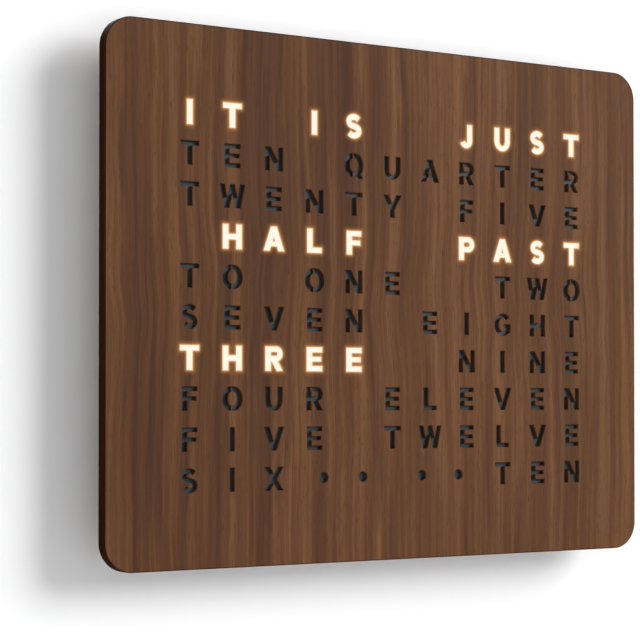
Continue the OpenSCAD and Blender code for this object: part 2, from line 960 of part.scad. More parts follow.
// Countersunk screws, flush with the rear cover
module cover_screws() {
    head_r = 3.1;
    shank_r = pilot_r - 0.05;
    color("#9a9da2")
        for (p = cover_posts)
            translate([p[0], 0, p[1]])
                rotate([90, 0, 0])
                    rotate_extrude()
                        polygon([
                            [0, 0.05], [head_r, 0.05], [1.55, cover_t], [shank_r, cover_t],
                            [shank_r, 10], [0.4, 11], [0, 11]
                        ]);
}

face_panel();
slab_frame();
edge_band();
diffuser_sheet();
grid_uprights();
grid_rails();
lamp_board();
lamp_strips();
lamps();
strip_links();
rear_housing();
rear_cover();
controller_board();
board_standoffs();
processor_board();
processor_chips();
clock_chip();
driver_chip();
cell_holder();
coin_cell();
smoothing_capacitor();
wire_headers();
power_inlet();
inlet_pin();
inlet_terminals();
inlet_nut();
light_sensor();
button_bodies();
button_nuts();
button_terminals();
hours_button();
minutes_button();
light_button();
hours_spring();
minutes_spring();
light_spring();
supply_lead();
ground_lead();
lamp_lead();
button_leads();
sensor_lead();
frame_screws();
lamp_board_screws();
cover_screws();
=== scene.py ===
import json
import math

import bmesh
import bpy
from mathutils import Matrix, Vector
from mathutils.geometry import delaunay_2d_cdt


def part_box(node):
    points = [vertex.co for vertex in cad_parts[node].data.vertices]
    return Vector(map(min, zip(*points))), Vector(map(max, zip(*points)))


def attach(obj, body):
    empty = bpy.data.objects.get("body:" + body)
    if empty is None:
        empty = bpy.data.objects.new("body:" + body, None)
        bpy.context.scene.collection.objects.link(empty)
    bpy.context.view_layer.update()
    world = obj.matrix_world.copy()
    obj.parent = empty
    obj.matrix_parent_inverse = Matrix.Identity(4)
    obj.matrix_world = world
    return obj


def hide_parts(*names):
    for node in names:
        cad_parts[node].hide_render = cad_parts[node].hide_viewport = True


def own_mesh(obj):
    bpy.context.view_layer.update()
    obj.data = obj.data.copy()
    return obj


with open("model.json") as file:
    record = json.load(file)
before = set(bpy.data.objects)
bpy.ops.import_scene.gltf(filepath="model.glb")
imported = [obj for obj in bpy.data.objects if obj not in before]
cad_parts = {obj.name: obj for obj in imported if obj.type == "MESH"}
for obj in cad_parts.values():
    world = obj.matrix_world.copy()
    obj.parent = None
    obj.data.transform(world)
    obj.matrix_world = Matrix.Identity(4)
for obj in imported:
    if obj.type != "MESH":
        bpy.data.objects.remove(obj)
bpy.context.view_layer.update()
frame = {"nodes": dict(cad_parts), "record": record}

mm = 0.001
print("frame loaded:", len(frame["nodes"]), "nodes")

# +X right, +Y into the wall, +Z up, all in metres; outlines of letters and openings are drawn in mm

# Camera, as the photograph was taken: low on the left, looking along the slab

view = {
    "place": (-0.9055, -1.3256, -0.0778),
    "forward": (0.54541, 0.83798, 0.01761),
    "lens": 113.64,
    "sensor": 36.0,
    "shiftY": 0.0732,
    "clipStart": 0.05,
}


def addObject(name, data):
    made = bpy.data.objects.new(name, data)
    bpy.context.scene.collection.objects.link(made)
    return made


def aim(thing, direction):
    thing.rotation_euler = Vector(direction).to_track_quat("-Z", "Y").to_euler()


def makeCamera():
    data = bpy.data.cameras.new("photo_camera")
    data.lens, data.sensor_width = view["lens"], view["sensor"]
    data.shift_y, data.clip_start = view["shiftY"], view["clipStart"]
    camera = addObject("photo_camera", data)
    camera.location = view["place"]
    aim(camera, view["forward"])
    bpy.context.scene.camera = camera


makeCamera()

# Helpers for outlines and meshes


def sides(loop):
    return zip(loop, loop[1:] + loop[:1])


def quarter(steps):
    # angles of a quarter turn
    return [math.radians(90 * k / steps) for k in range(steps + 1)]


def roundedLoop(low, high, r, grow=0.0):
    # a node's box seen from the front, with round corners, moved outwards by grow
    loop = []
    for k, (sx, sz) in enumerate(((1, 1), (-1, 1), (-1, -1), (1, -1))):
        x, z = sx * ((high.x - low.x) / mm / 2 - r), sz * ((high.z - low.z) / mm / 2 - r)
        for a in quarter(16):
            a += math.radians(90 * k)
            loop.append((x + (r + grow) * math.cos(a), z + (r + grow) * math.sin(a)))
    return loop


def circleLoop(cx, cz, r, steps=32):
    return [(cx + r * math.cos(2 * math.pi * i / steps), cz + r * math.sin(2 * math.pi * i / steps))
            for i in range(steps)]


def loopArea(loop):
    return sum(a[0] * b[1] - b[0] * a[1] for a, b in sides(loop)) / 2


def pointInside(p, loop):
    hit = False
    for a, b in sides(loop):
        if (a[1] > p[1]) != (b[1] > p[1]) and p[0] < (b[0] - a[0]) * (p[1] - a[1]) / (b[1] - a[1]) + a[0]:
            hit = not hit
    return hit


def leftOffset(loop, d):
    # moves a closed loop to its left by d, with mitred corners
    out = []
    for i in range(len(loop)):
        p, q, s = (Vector(loop[k % len(loop)]) for k in (i - 1, i, i + 1))
        n1, n2 = (Vector((a.y - b.y, b.x - a.x)).normalized() for a, b in ((p, q), (q, s)))
        m = (n1 + n2) / max(0.25, 1 + n1.dot(n2))
        out.append(tuple(q + d * m))
    return out


def numbered(loops):
    # the loops' points as numbers, counted through all loops
    rings, count = [], 0
    for loop in loops:
        rings.append(list(range(count, count + len(loop))))
        count += len(loop)
    return rings


def triangulate(loops, extra=()):
    # triangles between nested loops by the even-odd rule; returns points, triangles and numbered loops
    points = [Vector(p) for loop in (*loops, extra) for p in loop]
    rings = numbered(loops)
    turned = [ring if loopArea(loop) > 0 else ring[::-1] for ring, loop in zip(rings, loops)]
    outPoints, _, faces, origin, _, inside = delaunay_2d_cdt(points, [], turned, 1, 1e-7)
    index = {old: new for new, olds in enumerate(origin) for old in olds}
    kept = [f for f, owners in zip(faces, inside) if len(owners) % 2]
    return outPoints, kept, [[index[k] for k in ring] for ring in rings]


def meshFrom(bm, name):
    bmesh.ops.recalc_face_normals(bm, faces=bm.faces)
    mesh = bpy.data.meshes.new(name)
    bm.to_mesh(mesh)
    bm.free()
    return mesh


def smoothSides(mesh, degrees=40):
    # smooth shading, kept sharp where two faces meet at more than this
    for polygon in mesh.polygons:
        polygon.use_smooth = True
    mesh.set_sharp_from_angle(angle=math.radians(degrees))
    return mesh


def uprightVerts(bm, loop, y):
    return [bm.verts.new((px * mm, y, pz * mm)) for px, pz in loop]


def fillBetween(bm, loops, y, extra=()):
    # fills the area between nested loops in the upright plane at y; returns the loops' vertices
    points, faces, rings = triangulate(loops, extra)
    verts = uprightVerts(bm, points, y)
    for f in faces:
        bm.faces.new([verts[i] for i in f])
    return [[verts[i] for i in ring] for ring in rings]


def skin(bm, a, b, material=0):
    # a band of faces between two closed rings, either of which may be a single point
    count = max(len(a), len(b))
    for i in range(count):
        j = (i + 1) % count
        corners = dict.fromkeys((a[i % len(a)], a[j % len(a)], b[j % len(b)], b[i % len(b)]))
        bm.faces.new(tuple(corners)).material_index = material


def ringsMesh(name, closed, *shells):
    # each shell is a list of rings of points, skinned one to the next; closed joins its last to its first
    bm = bmesh.new()
    for shell in shells:
        rings = [[bm.verts.new(p) for p in ring] for ring in shell]
        for a, b in zip(rings, rings[1:] + (rings[:1] if closed else [])):
            skin(bm, a, b)
    return meshFrom(bm, name)


def polarRing(x, y, z, radius, steps):
    # points round the upright axis at x, y; z in mm, and radius in mm or as a function of the angle
    turn = [2 * math.pi * i / steps for i in range(steps)]
    reach = [(radius(a) if callable(radius) else radius) * mm for a in turn]
    return [(x + r * math.cos(a), y + r * math.sin(a), z * mm) for r, a in zip(reach, turn)]


def cutSheet(outline, openings, yFront, yBack, edge, rims, extra=()):
    # a closed sheet with real openings, whose walls have the second material; edge and rims are the
    # chamfers of the outline and of each opening, on the sheet's front
    nested = [outline]
    for k, loop in enumerate(openings):
        depth = 1 + sum(pointInside(loop[0], other) for j, other in enumerate(openings) if j != k)
        nested.append(loop[::-1] if (loopArea(loop) > 0) == bool(depth % 2) else loop)
    chamfers = [edge] + list(rims)
    inward = math.copysign(mm, yBack - yFront)
    bm = bmesh.new()
    fronts = fillBetween(bm, [leftOffset(*pair) for pair in zip(nested, chamfers)], yFront, extra)
    backs = fillBetween(bm, nested, yBack)
    for k, (loop, front, back) in enumerate(zip(nested, fronts, backs)):
        rim = uprightVerts(bm, loop, yFront + chamfers[k] * inward)
        skin(bm, front, rim)
        skin(bm, rim, back, int(k > 0))
    bmesh.ops.delete(bm, geom=[v for v in bm.verts if not v.link_faces], context="VERTS")
    return meshFrom(bm, "sheet")


# Letters, each a sum of bars, slants, ovals and pen strokes, drawn in mm

letterForm = {
    "cap": 17.6,        # height of a capital
    "stem": 4.2,        # upright strokes
    "bar": 3.3,         # level strokes
    "overshoot": 0.25,  # round letters pass the line by this
    "bridge": 0.8,      # wooden bridges that hold the counters
    "bridgeDepth": 1.3,  # how deep the bridges lie below the face
    "rim": 0.38,        # chamfer round each opening
    "shortest": 0.2,    # edges shorter than this are left out, so that no chamfer folds over
    "straight": 0.004,  # corners that turn less than this are left out, and so are
    "smallest": 0.02,   # loops with a smaller area
    "widths": {"A": 17.4, "E": 13.4, "F": 12.8, "G": 16.0, "H": 15.8, "I": 4.2, "J": 10.6, "L": 12.4,
               "N": 15.6, "O": 17.2, "P": 14.4, "Q": 17.2, "R": 14.4, "S": 14.0, "T": 15.4, "U": 15.0,
               "V": 17.4, "W": 21.4, "X": 16.8, "Y": 16.6},
}


def bar(x0, z0, x1, z1):
    return [(x0, z0), (x1, z0), (x1, z1), (x0, z1)]


def slant(topX, bottomX, width, topZ=letterForm["cap"], bottomZ=0.0):
    return [(bottomX, bottomZ), (bottomX + width, bottomZ), (topX + width, topZ), (topX, topZ)]


def mirrored(shape, w):
    return [(w - x, z) for x, z in reversed(shape)]


def ovalPoint(cx, cz, rx, rz, degrees, power=2.0):
    # power 2 is a true oval, and more is squarer
    c, s = math.cos(math.radians(degrees)), math.sin(math.radians(degrees))
    across, up = (math.copysign(abs(v) ** (2 / power), v) for v in (c, s))
    return cx + rx * across, cz + rz * up


def oval(cx, cz, rx, rz, power=2.0, steps=40):
    return [ovalPoint(cx, cz, rx, rz, 360 * i / steps, power) for i in range(steps)]


def arcLoop(cx, cz, rx, rz, start, end, steps):
    return [ovalPoint(cx, cz, rx, rz, start + (end - start) * i / steps) for i in range(steps + 1)]


def ovalArc(cx, cz, rx, rz, start, end, thick=(letterForm["stem"], letterForm["bar"]), steps=22):
    # a bow that is thick[0] wide at the sides and thick[1] at top and bottom
    inner = arcLoop(cx, cz, rx - thick[0], rz - thick[1], start, end, steps)
    return arcLoop(cx, cz, rx, rz, start, end, steps) + inner[::-1]


def penStroke(points, width, steps=4):
    # a stroke of constant width along a smooth curve through the points
    pts = [Vector(p) for p in points]
    pts = [2 * pts[0] - pts[1]] + pts + [2 * pts[-1] - pts[-2]]
    path = []
    for a, b, c, d in zip(pts, pts[1:], pts[2:], pts[3:]):
        for t in (i / steps for i in range(steps)):
            path.append(0.5 * (2 * b + (c - a) * t + (2 * a - 5 * b + 4 * c - d) * t * t
                               + (3 * b - a - 3 * c + d) * t ** 3))
    path.append(pts[-2])
    left, right = [], []
    for i, p in enumerate(path):
        d = (path[min(i + 1, len(path) - 1)] - path[max(i - 1, 0)]).normalized()
        side = Vector((-d.y, d.x)) * width / 2
        left.append(tuple(p + side))
        right.append(tuple(p - side))
    return right + left[::-1]


def letterShapes(letter):
    # shapes that are cut out, shapes that stay, and bridges as (x, z, half length)
    cap, s, b, over = (letterForm[k] for k in ("cap", "stem", "bar", "overshoot"))
    w, mid = letterForm["widths"][letter], cap / 2
    stem, top, base, pole = bar(0, 0, s, cap), bar(0, cap - b, w, cap), bar(0, 0, w, b), (w - s) / 2
    stays, bridges = [], []
    if letter == "I":
        cut = [stem]
    elif letter == "L":
        cut = [stem, base]
    elif letter in "EF":
        middle = bar(0, mid - b / 2 + 0.2, w - 0.9, mid + b / 2 - 0.1)
        cut = [stem, top, middle] + ([base] if letter == "E" else [])
    elif letter == "H":
        cut = [stem, bar(w - s, 0, w, cap), bar(0, mid - b / 2, w, mid + b / 2)]
    elif letter == "T":
        cut = [top, bar(pole, 0, pole + s, cap)]
    elif letter == "N":
        cut = [bar(0, 0, 3.9, cap), bar(w - 3.9, 0, w, cap), slant(0, w - 4.9, 4.9)]
    elif letter == "A":
        leg = slant(w / 2 - 2.3, 0, 4.6)
        cut = [leg, mirrored(leg, w), bar(3.2, 3.5, w - 3.2, 6.4)]
        bridges = [(w / 2, 4.95, 1.45)]
    elif letter in "VX":
        leg = slant(0, w / 2 - 2.3, 4.6) if letter == "V" else slant(0, w - 4.9, 4.9)
        cut = [leg, mirrored(leg, w)]
    elif letter == "W":
        outer, inner = slant(0, 3.9, 4.0), slant(w / 2 - 1.9, 4.1, 3.8)
        cut = [outer, inner, mirrored(outer, w), mirrored(inner, w)]
    elif letter == "Y":
        arm = slant(0, w / 2 - 2.3, 4.6, bottomZ=6.6)
        cut = [arm, mirrored(arm, w), bar(pole, 0, pole + s, 8.0)]
    elif letter in "OQ":
        cut, stays = [oval(w / 2, mid, w / 2, mid + over, 2.25)], [oval(w / 2, mid, 4.0, 5.3, 2.3)]
        rise = (mid + over - 5.3) / 2
        bridges = [(w / 2, mid + side * (5.3 + rise), rise) for side in (-1, 1)]
        if letter == "Q":
            cut.append(slant(9.4, 12.9, 4.0, 5.0, -1.4))
    elif letter in "PR":
        low = 6.5 if letter == "P" else 7.2
        r = (cap - low) / 2
        x = w - r
        cut = [stem, bar(0, low, x, cap), oval(x, low + r, r, r)]
        if letter == "R":
            cut.append(slant(4.5, w - 4.6, 4.7, low + 1.5))
        stays = [bar(s, low + b, x, cap - b), oval(x, low + r, r - s + 0.4, r - b)]
        bridges = [(s + 0.6, cap - b / 2, b / 2)]
    elif letter == "U":
        cup = ovalArc(w / 2, 7.4, w / 2, 7.4 + over, 180, 360)
        cut = [bar(0, 7.3, s, cap), bar(w - s, 7.3, w, cap), cup]
    elif letter == "J":
        cut = [bar(w - s, 5.2, w, cap), ovalArc(w - 5.6, 5.3, 5.6, 5.3 + over, 203, 360)]
    elif letter == "G":
        bow = ovalArc(8.5, mid, 8.5, mid + over, 42, 318, (s + 0.2, b + 0.1), 32)
        cut = [bow, bar(9.3, 6.0, w, 9.2), bar(w - 4.4, 2.3, w, 9.2)]
    else:  # S
        curve = [ovalPoint(7.0, 12.5, 4.6, 3.5, a) for a in (32, 60, 90, 120, 150, 180, 210, 238)]
        curve += [ovalPoint(7.0, 5.15, 4.65, 3.55, a) for a in (58, 30, 0, -30, -60, -90, -120, -148)]
        cut = [penStroke(curve, 3.7)]
    return cut, stays, bridges


def letterLoops(letter):
    # boundary loops of the letter, and its bridges, centred on the cell
    shapes, stays, bridges = letterShapes(letter)
    shiftX, shiftZ = letterForm["widths"][letter] / 2, letterForm["cap"] / 2
    points = [Vector(p) for shape in shapes + stays for p in shape]
    outPoints, _, faces, _, _, inside = delaunay_2d_cdt(points, [], numbered(shapes + stays), 1, 1e-6)
    edges = set()
    for f, owners in zip(faces, inside):
        if owners and max(owners) < len(shapes):
            edges.update(sides(f))
    nextOf = {a: b for a, b in edges if (b, a) not in edges}
    loops = []
    while nextOf:
        a, loop = next(iter(nextOf)), []
        while a in nextOf:
            loop.append(outPoints[a])
            a = nextOf.pop(a)
        corners = []
        for i, q in enumerate(loop):
            p, r = loop[i - 1], loop[(i + 1) % len(loop)]
            corner = (q.x - shiftX, q.y - shiftZ)
            if abs((q - p).normalized().cross((r - q).normalized())) > letterForm["straight"]:
                if not corners or math.dist(corner, corners[-1]) > letterForm["shortest"]:
                    corners.append(corner)
        if len(corners) > 2 and abs(loopArea(corners)) > letterForm["smallest"]:
            loops.append(corners)
    return loops, [(x - shiftX, z - shiftZ, half) for x, z, half in bridges]


# The field of words: our own, in the same eleven columns and ten rows

field = {
    "words": ("IT_IS__JUST", "TEN_QUARTER", "TWENTY_FIVE", "_HALF__PAST", "TO_ONE__TWO",
              "SEVEN_EIGHT", "THREE__NINE", "FOUR_ELEVEN", "FIVE_TWELVE", "SIX_____TEN"),
    # row, first and last column of each lit word
    "lit": ((0, 0, 1), (0, 3, 4), (0, 7, 10), (3, 1, 4), (3, 7, 10), (6, 0, 4)),
    "columns": 11,
    "rows": 10,
    "pitch": (36.2, 30.0),
    "dots": (-64.0, -28.0, 28.0, 64.0),
    "dotRadius": 4.0,
    "paintedGlowReach": 4.6,                             # how far the painted glow round a lit letter reaches on the wood
    "haloRings": (0.9, 1.6, 2.5, 3.5, 4.6, 5.5),  # distances at which it is sampled
    "haloTurns": (-60, -30, 0, 30, 60),           # directions sampled round each corner
    "haloGap": (0.9, 0.35),                       # spacing on a ring, and its growth with the distance
    "haloClear": (0.97, 0.55),                    # least room to letters, in rings, and points, in gaps
    "cornerRadius": 21.4,
    "edgeChamfer": 0.15,
}
middleColumn, middleRow = (field["columns"] - 1) / 2, (field["rows"] - 1) / 2


def cellPlace(column, row):
    return ((column - middleColumn) * field["pitch"][0], (middleRow - row) * field["pitch"][1])


def isLit(column, row):
    return any(row == r and first <= column <= last for r, first, last in field["lit"])


def segmentDistance(p, a, b):
    ax, az, bx, bz = a[0], a[1], b[0] - a[0], b[1] - a[1]
    t = max(0.0, min(1.0, ((p[0] - ax) * bx + (p[1] - az) * bz) / (bx * bx + bz * bz)))
    return math.hypot(p[0] - ax - t * bx, p[1] - az - t * bz)


def loopsDistance(p, loops):
    return min(segmentDistance(p, a, b) for loop in loops for a, b in sides(loop))


alphabet = {letter: letterLoops(letter) for letter in letterForm["widths"]}
cells = [(column, row, letter) for row, word in enumerate(field["words"])
         for column, letter in enumerate(word) if letter != "_"]
print("letters drawn:", len(alphabet), "forms,", len(cells), "openings")


def haloPoints(loops):
    # points in the wood round a lit letter, in rings, so that the painted glow fades smoothly
    points = []
    fromLetter, fromPoint = field["haloClear"]
    for d in field["haloRings"]:
        gap = field["haloGap"][0] + field["haloGap"][1] * d
        for a, b in (side for loop in loops for side in sides(loop)):
            run = Vector(b) - Vector(a)
            normal = Vector((run.y, -run.x)).normalized()
            count = max(1, round(run.length / gap))
            fan = [Matrix.Rotation(math.radians(turn), 2) @ normal for turn in field["haloTurns"]]
            trial = [Vector(a) + run * ((i + 0.5) / count) + normal * d for i in range(count)]
            trial += [Vector(b) + direction * d for direction in fan]
            for p in trial:
                if loopsDistance(p, loops) > fromLetter * d:
                    if all((p - q).length > fromPoint * gap for q in points):
                        points.append(p)
    return [tuple(p) for p in points]


faceLow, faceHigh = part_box("face_panel")


def makeLetteredFace():
    loops, extra, haloOf = [], [], {}
    for column, row, letter in cells:
        x, z = cellPlace(column, row)
        own = alphabet[letter][0]
        loops += [[(px + x, pz + z) for px, pz in loop] for loop in own]
        if isLit(column, row):
            if letter not in haloOf:
                haloOf[letter] = haloPoints(own)
            extra += [(px + x, pz + z) for px, pz in haloOf[letter]]
    lastRow = cellPlace(0, field["rows"] - 1)[1]
    loops += [circleLoop(x, lastRow, field["dotRadius"]) for x in field["dots"]]
    outline = roundedLoop(faceLow, faceHigh, field["cornerRadius"])
    rims = [letterForm["rim"]] * len(loops)
    mesh = cutSheet(outline, loops, faceLow.y, faceHigh.y, field["edgeChamfer"], rims, extra)
    # painted glow: wood near a lit letter emits light, fading with the distance from its outline
    painted_glow = mesh.attributes.new("painted_glow", "FLOAT", "POINT")
    for v in mesh.vertices:
        px, pz = v.co.x / mm, v.co.z / mm
        column = round(px / field["pitch"][0] + middleColumn)
        row = round(middleRow - pz / field["pitch"][1])
        if isLit(column, row):
            x, z = cellPlace(column, row)
            d = loopsDistance((px - x, pz - z), alphabet[field["words"][row][column]][0])
            painted_glow.data[v.index].value = max(0.0, 1 - d / field["paintedGlowReach"])
    print("lettered face:", len(mesh.polygons), "faces,", len(extra), "halo points")
    return mesh


def makeBridges():
    bm = bmesh.new()
    painted_glow = bm.verts.layers.float.new("painted_glow")
    half, front = letterForm["bridge"] / 2, faceLow.y + letterForm["bridgeDepth"] * mm
    for column, row, letter in cells:
        cx, cz = cellPlace(column, row)
        for x, z, length in alphabet[letter][1]:
            low = ((cx + x - half) * mm, front, (cz + z - length) * mm)
            high = ((cx + x + half) * mm, faceHigh.y, (cz + z + length) * mm)
            for v in bmesh.ops.create_cube(bm, size=1)["verts"]:
                v.co = [(high if c > 0 else low)[k] for k, c in enumerate(v.co)]
                # bridges of lit letters get the full painted glow
                v[painted_glow] = 1.0 if isLit(column, row) else 0.0
    return meshFrom(bm, "bridges")


# Materials


def newMaterial(name):
    # the material, its tree, its shader, and the place on the object, which every pattern reads
    material = bpy.data.materials.new(name)
    material.use_nodes = True
    tree = material.node_tree
    place = tree.nodes.new("ShaderNodeTexCoord").outputs["Object"]
    return material, tree, tree.nodes["Principled BSDF"], place


def plug(tree, node, inputs):
    # sets inputs by name or number, with a link where the value is another node's output
    for key, value in inputs.items():
        if isinstance(value, bpy.types.NodeSocket):
            tree.links.new(value, node.inputs[key])
        else:
            node.inputs[key].default_value = value


def addNode(tree, kind, inputs, **settings):
    node = tree.nodes.new(kind)
    for key, value in settings.items():
        setattr(node, key, value)
    plug(tree, node, inputs)
    return node


def calc(tree, operation, *values):
    return addNode(tree, "ShaderNodeMath", dict(enumerate(values)), operation=operation).outputs[0]


def clamped(tree, value, highest):
    return addNode(tree, "ShaderNodeClamp", {"Value": value, "Min": 0.0, "Max": highest}).outputs[0]


def attributeOf(tree, name):
    return addNode(tree, "ShaderNodeAttribute", {}, attribute_name=name).outputs["Fac"]


def colourRamp(tree, factor, stops):
    node = addNode(tree, "ShaderNodeValToRGB", {0: factor})
    elements = node.color_ramp.elements
    while len(elements) < len(stops):
        elements.new(0.5)
    for element, (place, colour) in zip(elements, stops):
        element.position = place
        element.color = (*colour, 1)
    return node.outputs[0]


def noise(tree, place, scale, detail, roughness):
    # scale is one number, or three for a pattern that is stretched along an axis
    if isinstance(scale, tuple):
        place = addNode(tree, "ShaderNodeMapping", {"Vector": place, "Scale": scale}).outputs[0]
        scale = 1.0
    return addNode(tree, "ShaderNodeTexNoise", {"Vector": place, "Scale": scale, "Detail": detail,
                                                "Roughness": roughness}).outputs[0]


def mixColour(tree, factor, a, b):
    a, b = (c if isinstance(c, bpy.types.NodeSocket) else (*c, 1) for c in (a, b))
    return addNode(tree, "ShaderNodeMix", {0: factor, 6: a, 7: b}, data_type="RGBA").outputs[2]


def addBump(tree, shader, height, strength, distance):
    bump = addNode(tree, "ShaderNodeBump", {"Strength": strength, "Distance": distance, "Height": height})
    plug(tree, shader, {"Normal": bump.outputs[0]})


def mottled(name, slow, stops, fine, rough, bump, settings):
    # colour from the slow noise, roughness and bump from the fine one; a noise is scale, detail and
    # roughness; rough is one number, or the noise's share and the rest; bump is strength and depth
    material, tree, shader, place = newMaterial(name)
    grain = noise(tree, place, *fine)
    cloud = noise(tree, place, *slow) if slow else grain
    if isinstance(rough, tuple):
        rough = calc(tree, "MULTIPLY_ADD", grain, *rough)
    plug(tree, shader, {"Base Color": colourRamp(tree, cloud, stops), "Roughness": rough, **settings})
    addBump(tree, shader, grain, *bump)
    return material, tree, shader, cloud


walnut = {
    "bend": (0.0028, 0.0110),  # how far the figure wanders, at the ends and at mid height
    "knotBand": 0.055,         # half height of the stretch where it wanders most
    "slope": 0.09,             # rise of the tone from left to right
    # streaks: noise scale across, through and along the grain, and the share of the tone
    "layers": (((24.0, 24.0, 1.5), 0.28), ((90.0, 90.0, 2.2), 0.48), ((290.0, 290.0, 5.5), 0.20),
               ((1300.0, 1300.0, 36.0), 0.12)),
    "marks": ((75.0, 75.0, 4.2), 0.56, 0.6),      # scale, where they start, how dark they may be
    "pores": ((2300.0, 2300.0, 120.0), 0.66, 0.5),
    "roughness": (0.25, 0.48),                    # share of the finest streaks, and the rest
    "bump": (0.22, 0.00012),                      # strength, depth
    "stops": (0.42, 0.54, 0.66),                  # where the three tones lie
    "dark": (0.066, 0.027, 0.0135),
    "middle": (0.113, 0.047, 0.0195),
    "light": (0.178, 0.079, 0.034),
    "streak": (0.043, 0.0195, 0.0125),
    "tones": {  # tint, gloss
        "walnut_face": ((1.03, 1.03, 1.02), 0.07),
        "walnut_reverse": ((0.55, 0.55, 0.55), 0.05),
        # the band's dark tint is partly an edge stain and partly painted shade of the slab's side edges
        "walnut_band": ((0.34, 0.25, 0.15), 0.005),
    },
    # painted glow of a lit letter, emitted by the wood, the openings' walls and the bridges, from the end
    # of its reach up to its rim
    "painted_halo": ((0.0, (0.0, 0.0, 0.0)), (0.20, (0.020, 0.007, 0.001)), (0.42, (0.060, 0.021, 0.003)),
             (0.62, (0.15, 0.058, 0.012)), (0.80, (0.36, 0.18, 0.062)), (0.91, (0.78, 0.52, 0.29)),
             (1.0, (1.0, 0.90, 0.72))),
    # scorch of the cut walls, made darker still as painted shade inside the openings
    "soot_and_shade": ((0.3, (0.008, 0.008, 0.008)), (0.7, (0.019, 0.018, 0.017))),
}


# painted glow: emission read from a point attribute, though the wood is no lamp
def addPaintedGlow(tree, shader):
    plug(tree, shader, {"Emission Color": colourRamp(tree, attributeOf(tree, "painted_glow"), walnut["painted_halo"]),
                        "Emission Strength": 1.0})


def woodMaterial(name, paintedGlow=False):
    # walnut, grain upright: broken streaks in four widths, dark marks, pores and a slow drift of tone
    tint, gloss = walnut["tones"][name]
    material, tree, shader, place = newMaterial(name)
    x, y, z = addNode(tree, "ShaderNodeSeparateXYZ", {0: place}).outputs
    level = calc(tree, "POWER", calc(tree, "DIVIDE", z, walnut["knotBand"]), 2.0)
    swell = calc(tree, "DIVIDE", walnut["bend"][1], calc(tree, "ADD", 1.0, level))
    reach = calc(tree, "ADD", swell, walnut["bend"][0])
    wander = noise(tree, place, 9.0, 2.0, 0.5)
    drift = calc(tree, "MULTIPLY", calc(tree, "SUBTRACT", wander, 0.5), reach)
    across = calc(tree, "MULTIPLY_ADD", drift, 2.0, x)
    bent = addNode(tree, "ShaderNodeCombineXYZ", {"X": across, "Y": y, "Z": z}).outputs[0]
    value = calc(tree, "MULTIPLY", x, walnut["slope"])
    for scale, share in walnut["layers"]:
        layer = noise(tree, bent, scale, 3.0, 0.6)
        value = calc(tree, "MULTIPLY_ADD", layer, share, value)
    dark, middle, light, streak = (tuple(c * t for c, t in zip(walnut[k], tint))
                                   for k in ("dark", "middle", "light", "streak"))
    colour = colourRamp(tree, value, tuple(zip(walnut["stops"], (dark, middle, light))))
    scale, start, darkest = walnut["marks"]
    marks = calc(tree, "SUBTRACT", noise(tree, bent, scale, 4.0, 0.65), start)
    colour = mixColour(tree, clamped(tree, calc(tree, "MULTIPLY", marks, 4.0), darkest), colour, streak)
    scale, start, darkest = walnut["pores"]
    pore = calc(tree, "GREATER_THAN", noise(tree, bent, scale, 1.0, 0.5), start)
    colour = mixColour(tree, calc(tree, "MULTIPLY", pore, darkest), colour, streak)
    rough = calc(tree, "MULTIPLY_ADD", layer, *walnut["roughness"])
    plug(tree, shader, {"Base Color": colour, "Roughness": rough, "Specular IOR Level": gloss})
    height = calc(tree, "SUBTRACT", layer, calc(tree, "MULTIPLY", pore, 0.6))
    addBump(tree, shader, height, *walnut["bump"])
    if paintedGlow:
        addPaintedGlow(tree, shader)
    return material


def cutEdgeMaterial():
    # the openings' walls, scorched dark by the cutter and darkened further as painted shade inside the
    # openings; a painted glow where a lit letter is near
    material, tree, shader, _ = mottled("cut_edge", None, walnut["soot_and_shade"], (700.0, 3.0, 0.6), 0.55,
                                        (0.15, 0.00005), {"Specular IOR Level": 0.12})
    addPaintedGlow(tree, shader)
    return material


smoke = {
    "off": ((0.3, (0.017, 0.025, 0.029)), (0.7, (0.026, 0.038, 0.043))),
    "on": ((0.955, 0.905, 0.800), (0.950, 0.880, 0.740)),
    "gloss": 0.22,
}


def smokeMaterial():
    # smoked acrylic, satin; the attribute lit marks the cells whose lamps shine through it
    material, tree, shader, haze = mottled(
        "smoked_sheet_lit", (60.0, 3.0, 0.6), smoke["off"], (2500.0, 1.0, 0.5), (0.2, 0.32),
        (0.1, 0.00005), {"Specular IOR Level": smoke["gloss"], "Emission Strength": 1.0})
    warm = mixColour(tree, haze, *smoke["on"])
    plug(tree, shader, {"Emission Color": mixColour(tree, attributeOf(tree, "lit"), (0, 0, 0), warm)})
    return material


def makeSmokedSheet():
    # one block to each cell, so that a lit cell ends where its light box ends
    low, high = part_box("diffuser_sheet")
    columns, rows = field["columns"], field["rows"]
    xs = [low.x] + [(i - columns / 2) * field["pitch"][0] * mm for i in range(columns + 1)] + [high.x]
    zs = [low.z] + [(j - rows / 2) * field["pitch"][1] * mm for j in range(rows + 1)] + [high.z]
    bm = bmesh.new()
    lit = bm.faces.layers.float.new("lit")
    front, back = [[[bm.verts.new((x, y, z)) for z in zs] for x in xs] for y in (low.y, high.y)]
    for i in range(len(xs) - 1):
        for j in range(len(zs) - 1):
            pane = bm.faces.new((front[i][j], front[i + 1][j], front[i + 1][j + 1], front[i][j + 1]))
            bm.faces.new((back[i][j], back[i][j + 1], back[i + 1][j + 1], back[i + 1][j]))
            pane[lit] = 1.0 if isLit(i - 1, rows - j) else 0.0
    right, top = len(xs) - 1, len(zs) - 1
    edge = ([(i, 0) for i in range(right)] + [(right, j) for j in range(top)]
            + [(i, top) for i in range(right, 0, -1)] + [(0, j) for j in range(top, 0, -1)])
    skin(bm, [front[i][j] for i, j in edge], [back[i][j] for i, j in edge])
    return meshFrom(bm, "smoked_sheet")


# Finishes of the CAD nodes, by the record's material slot

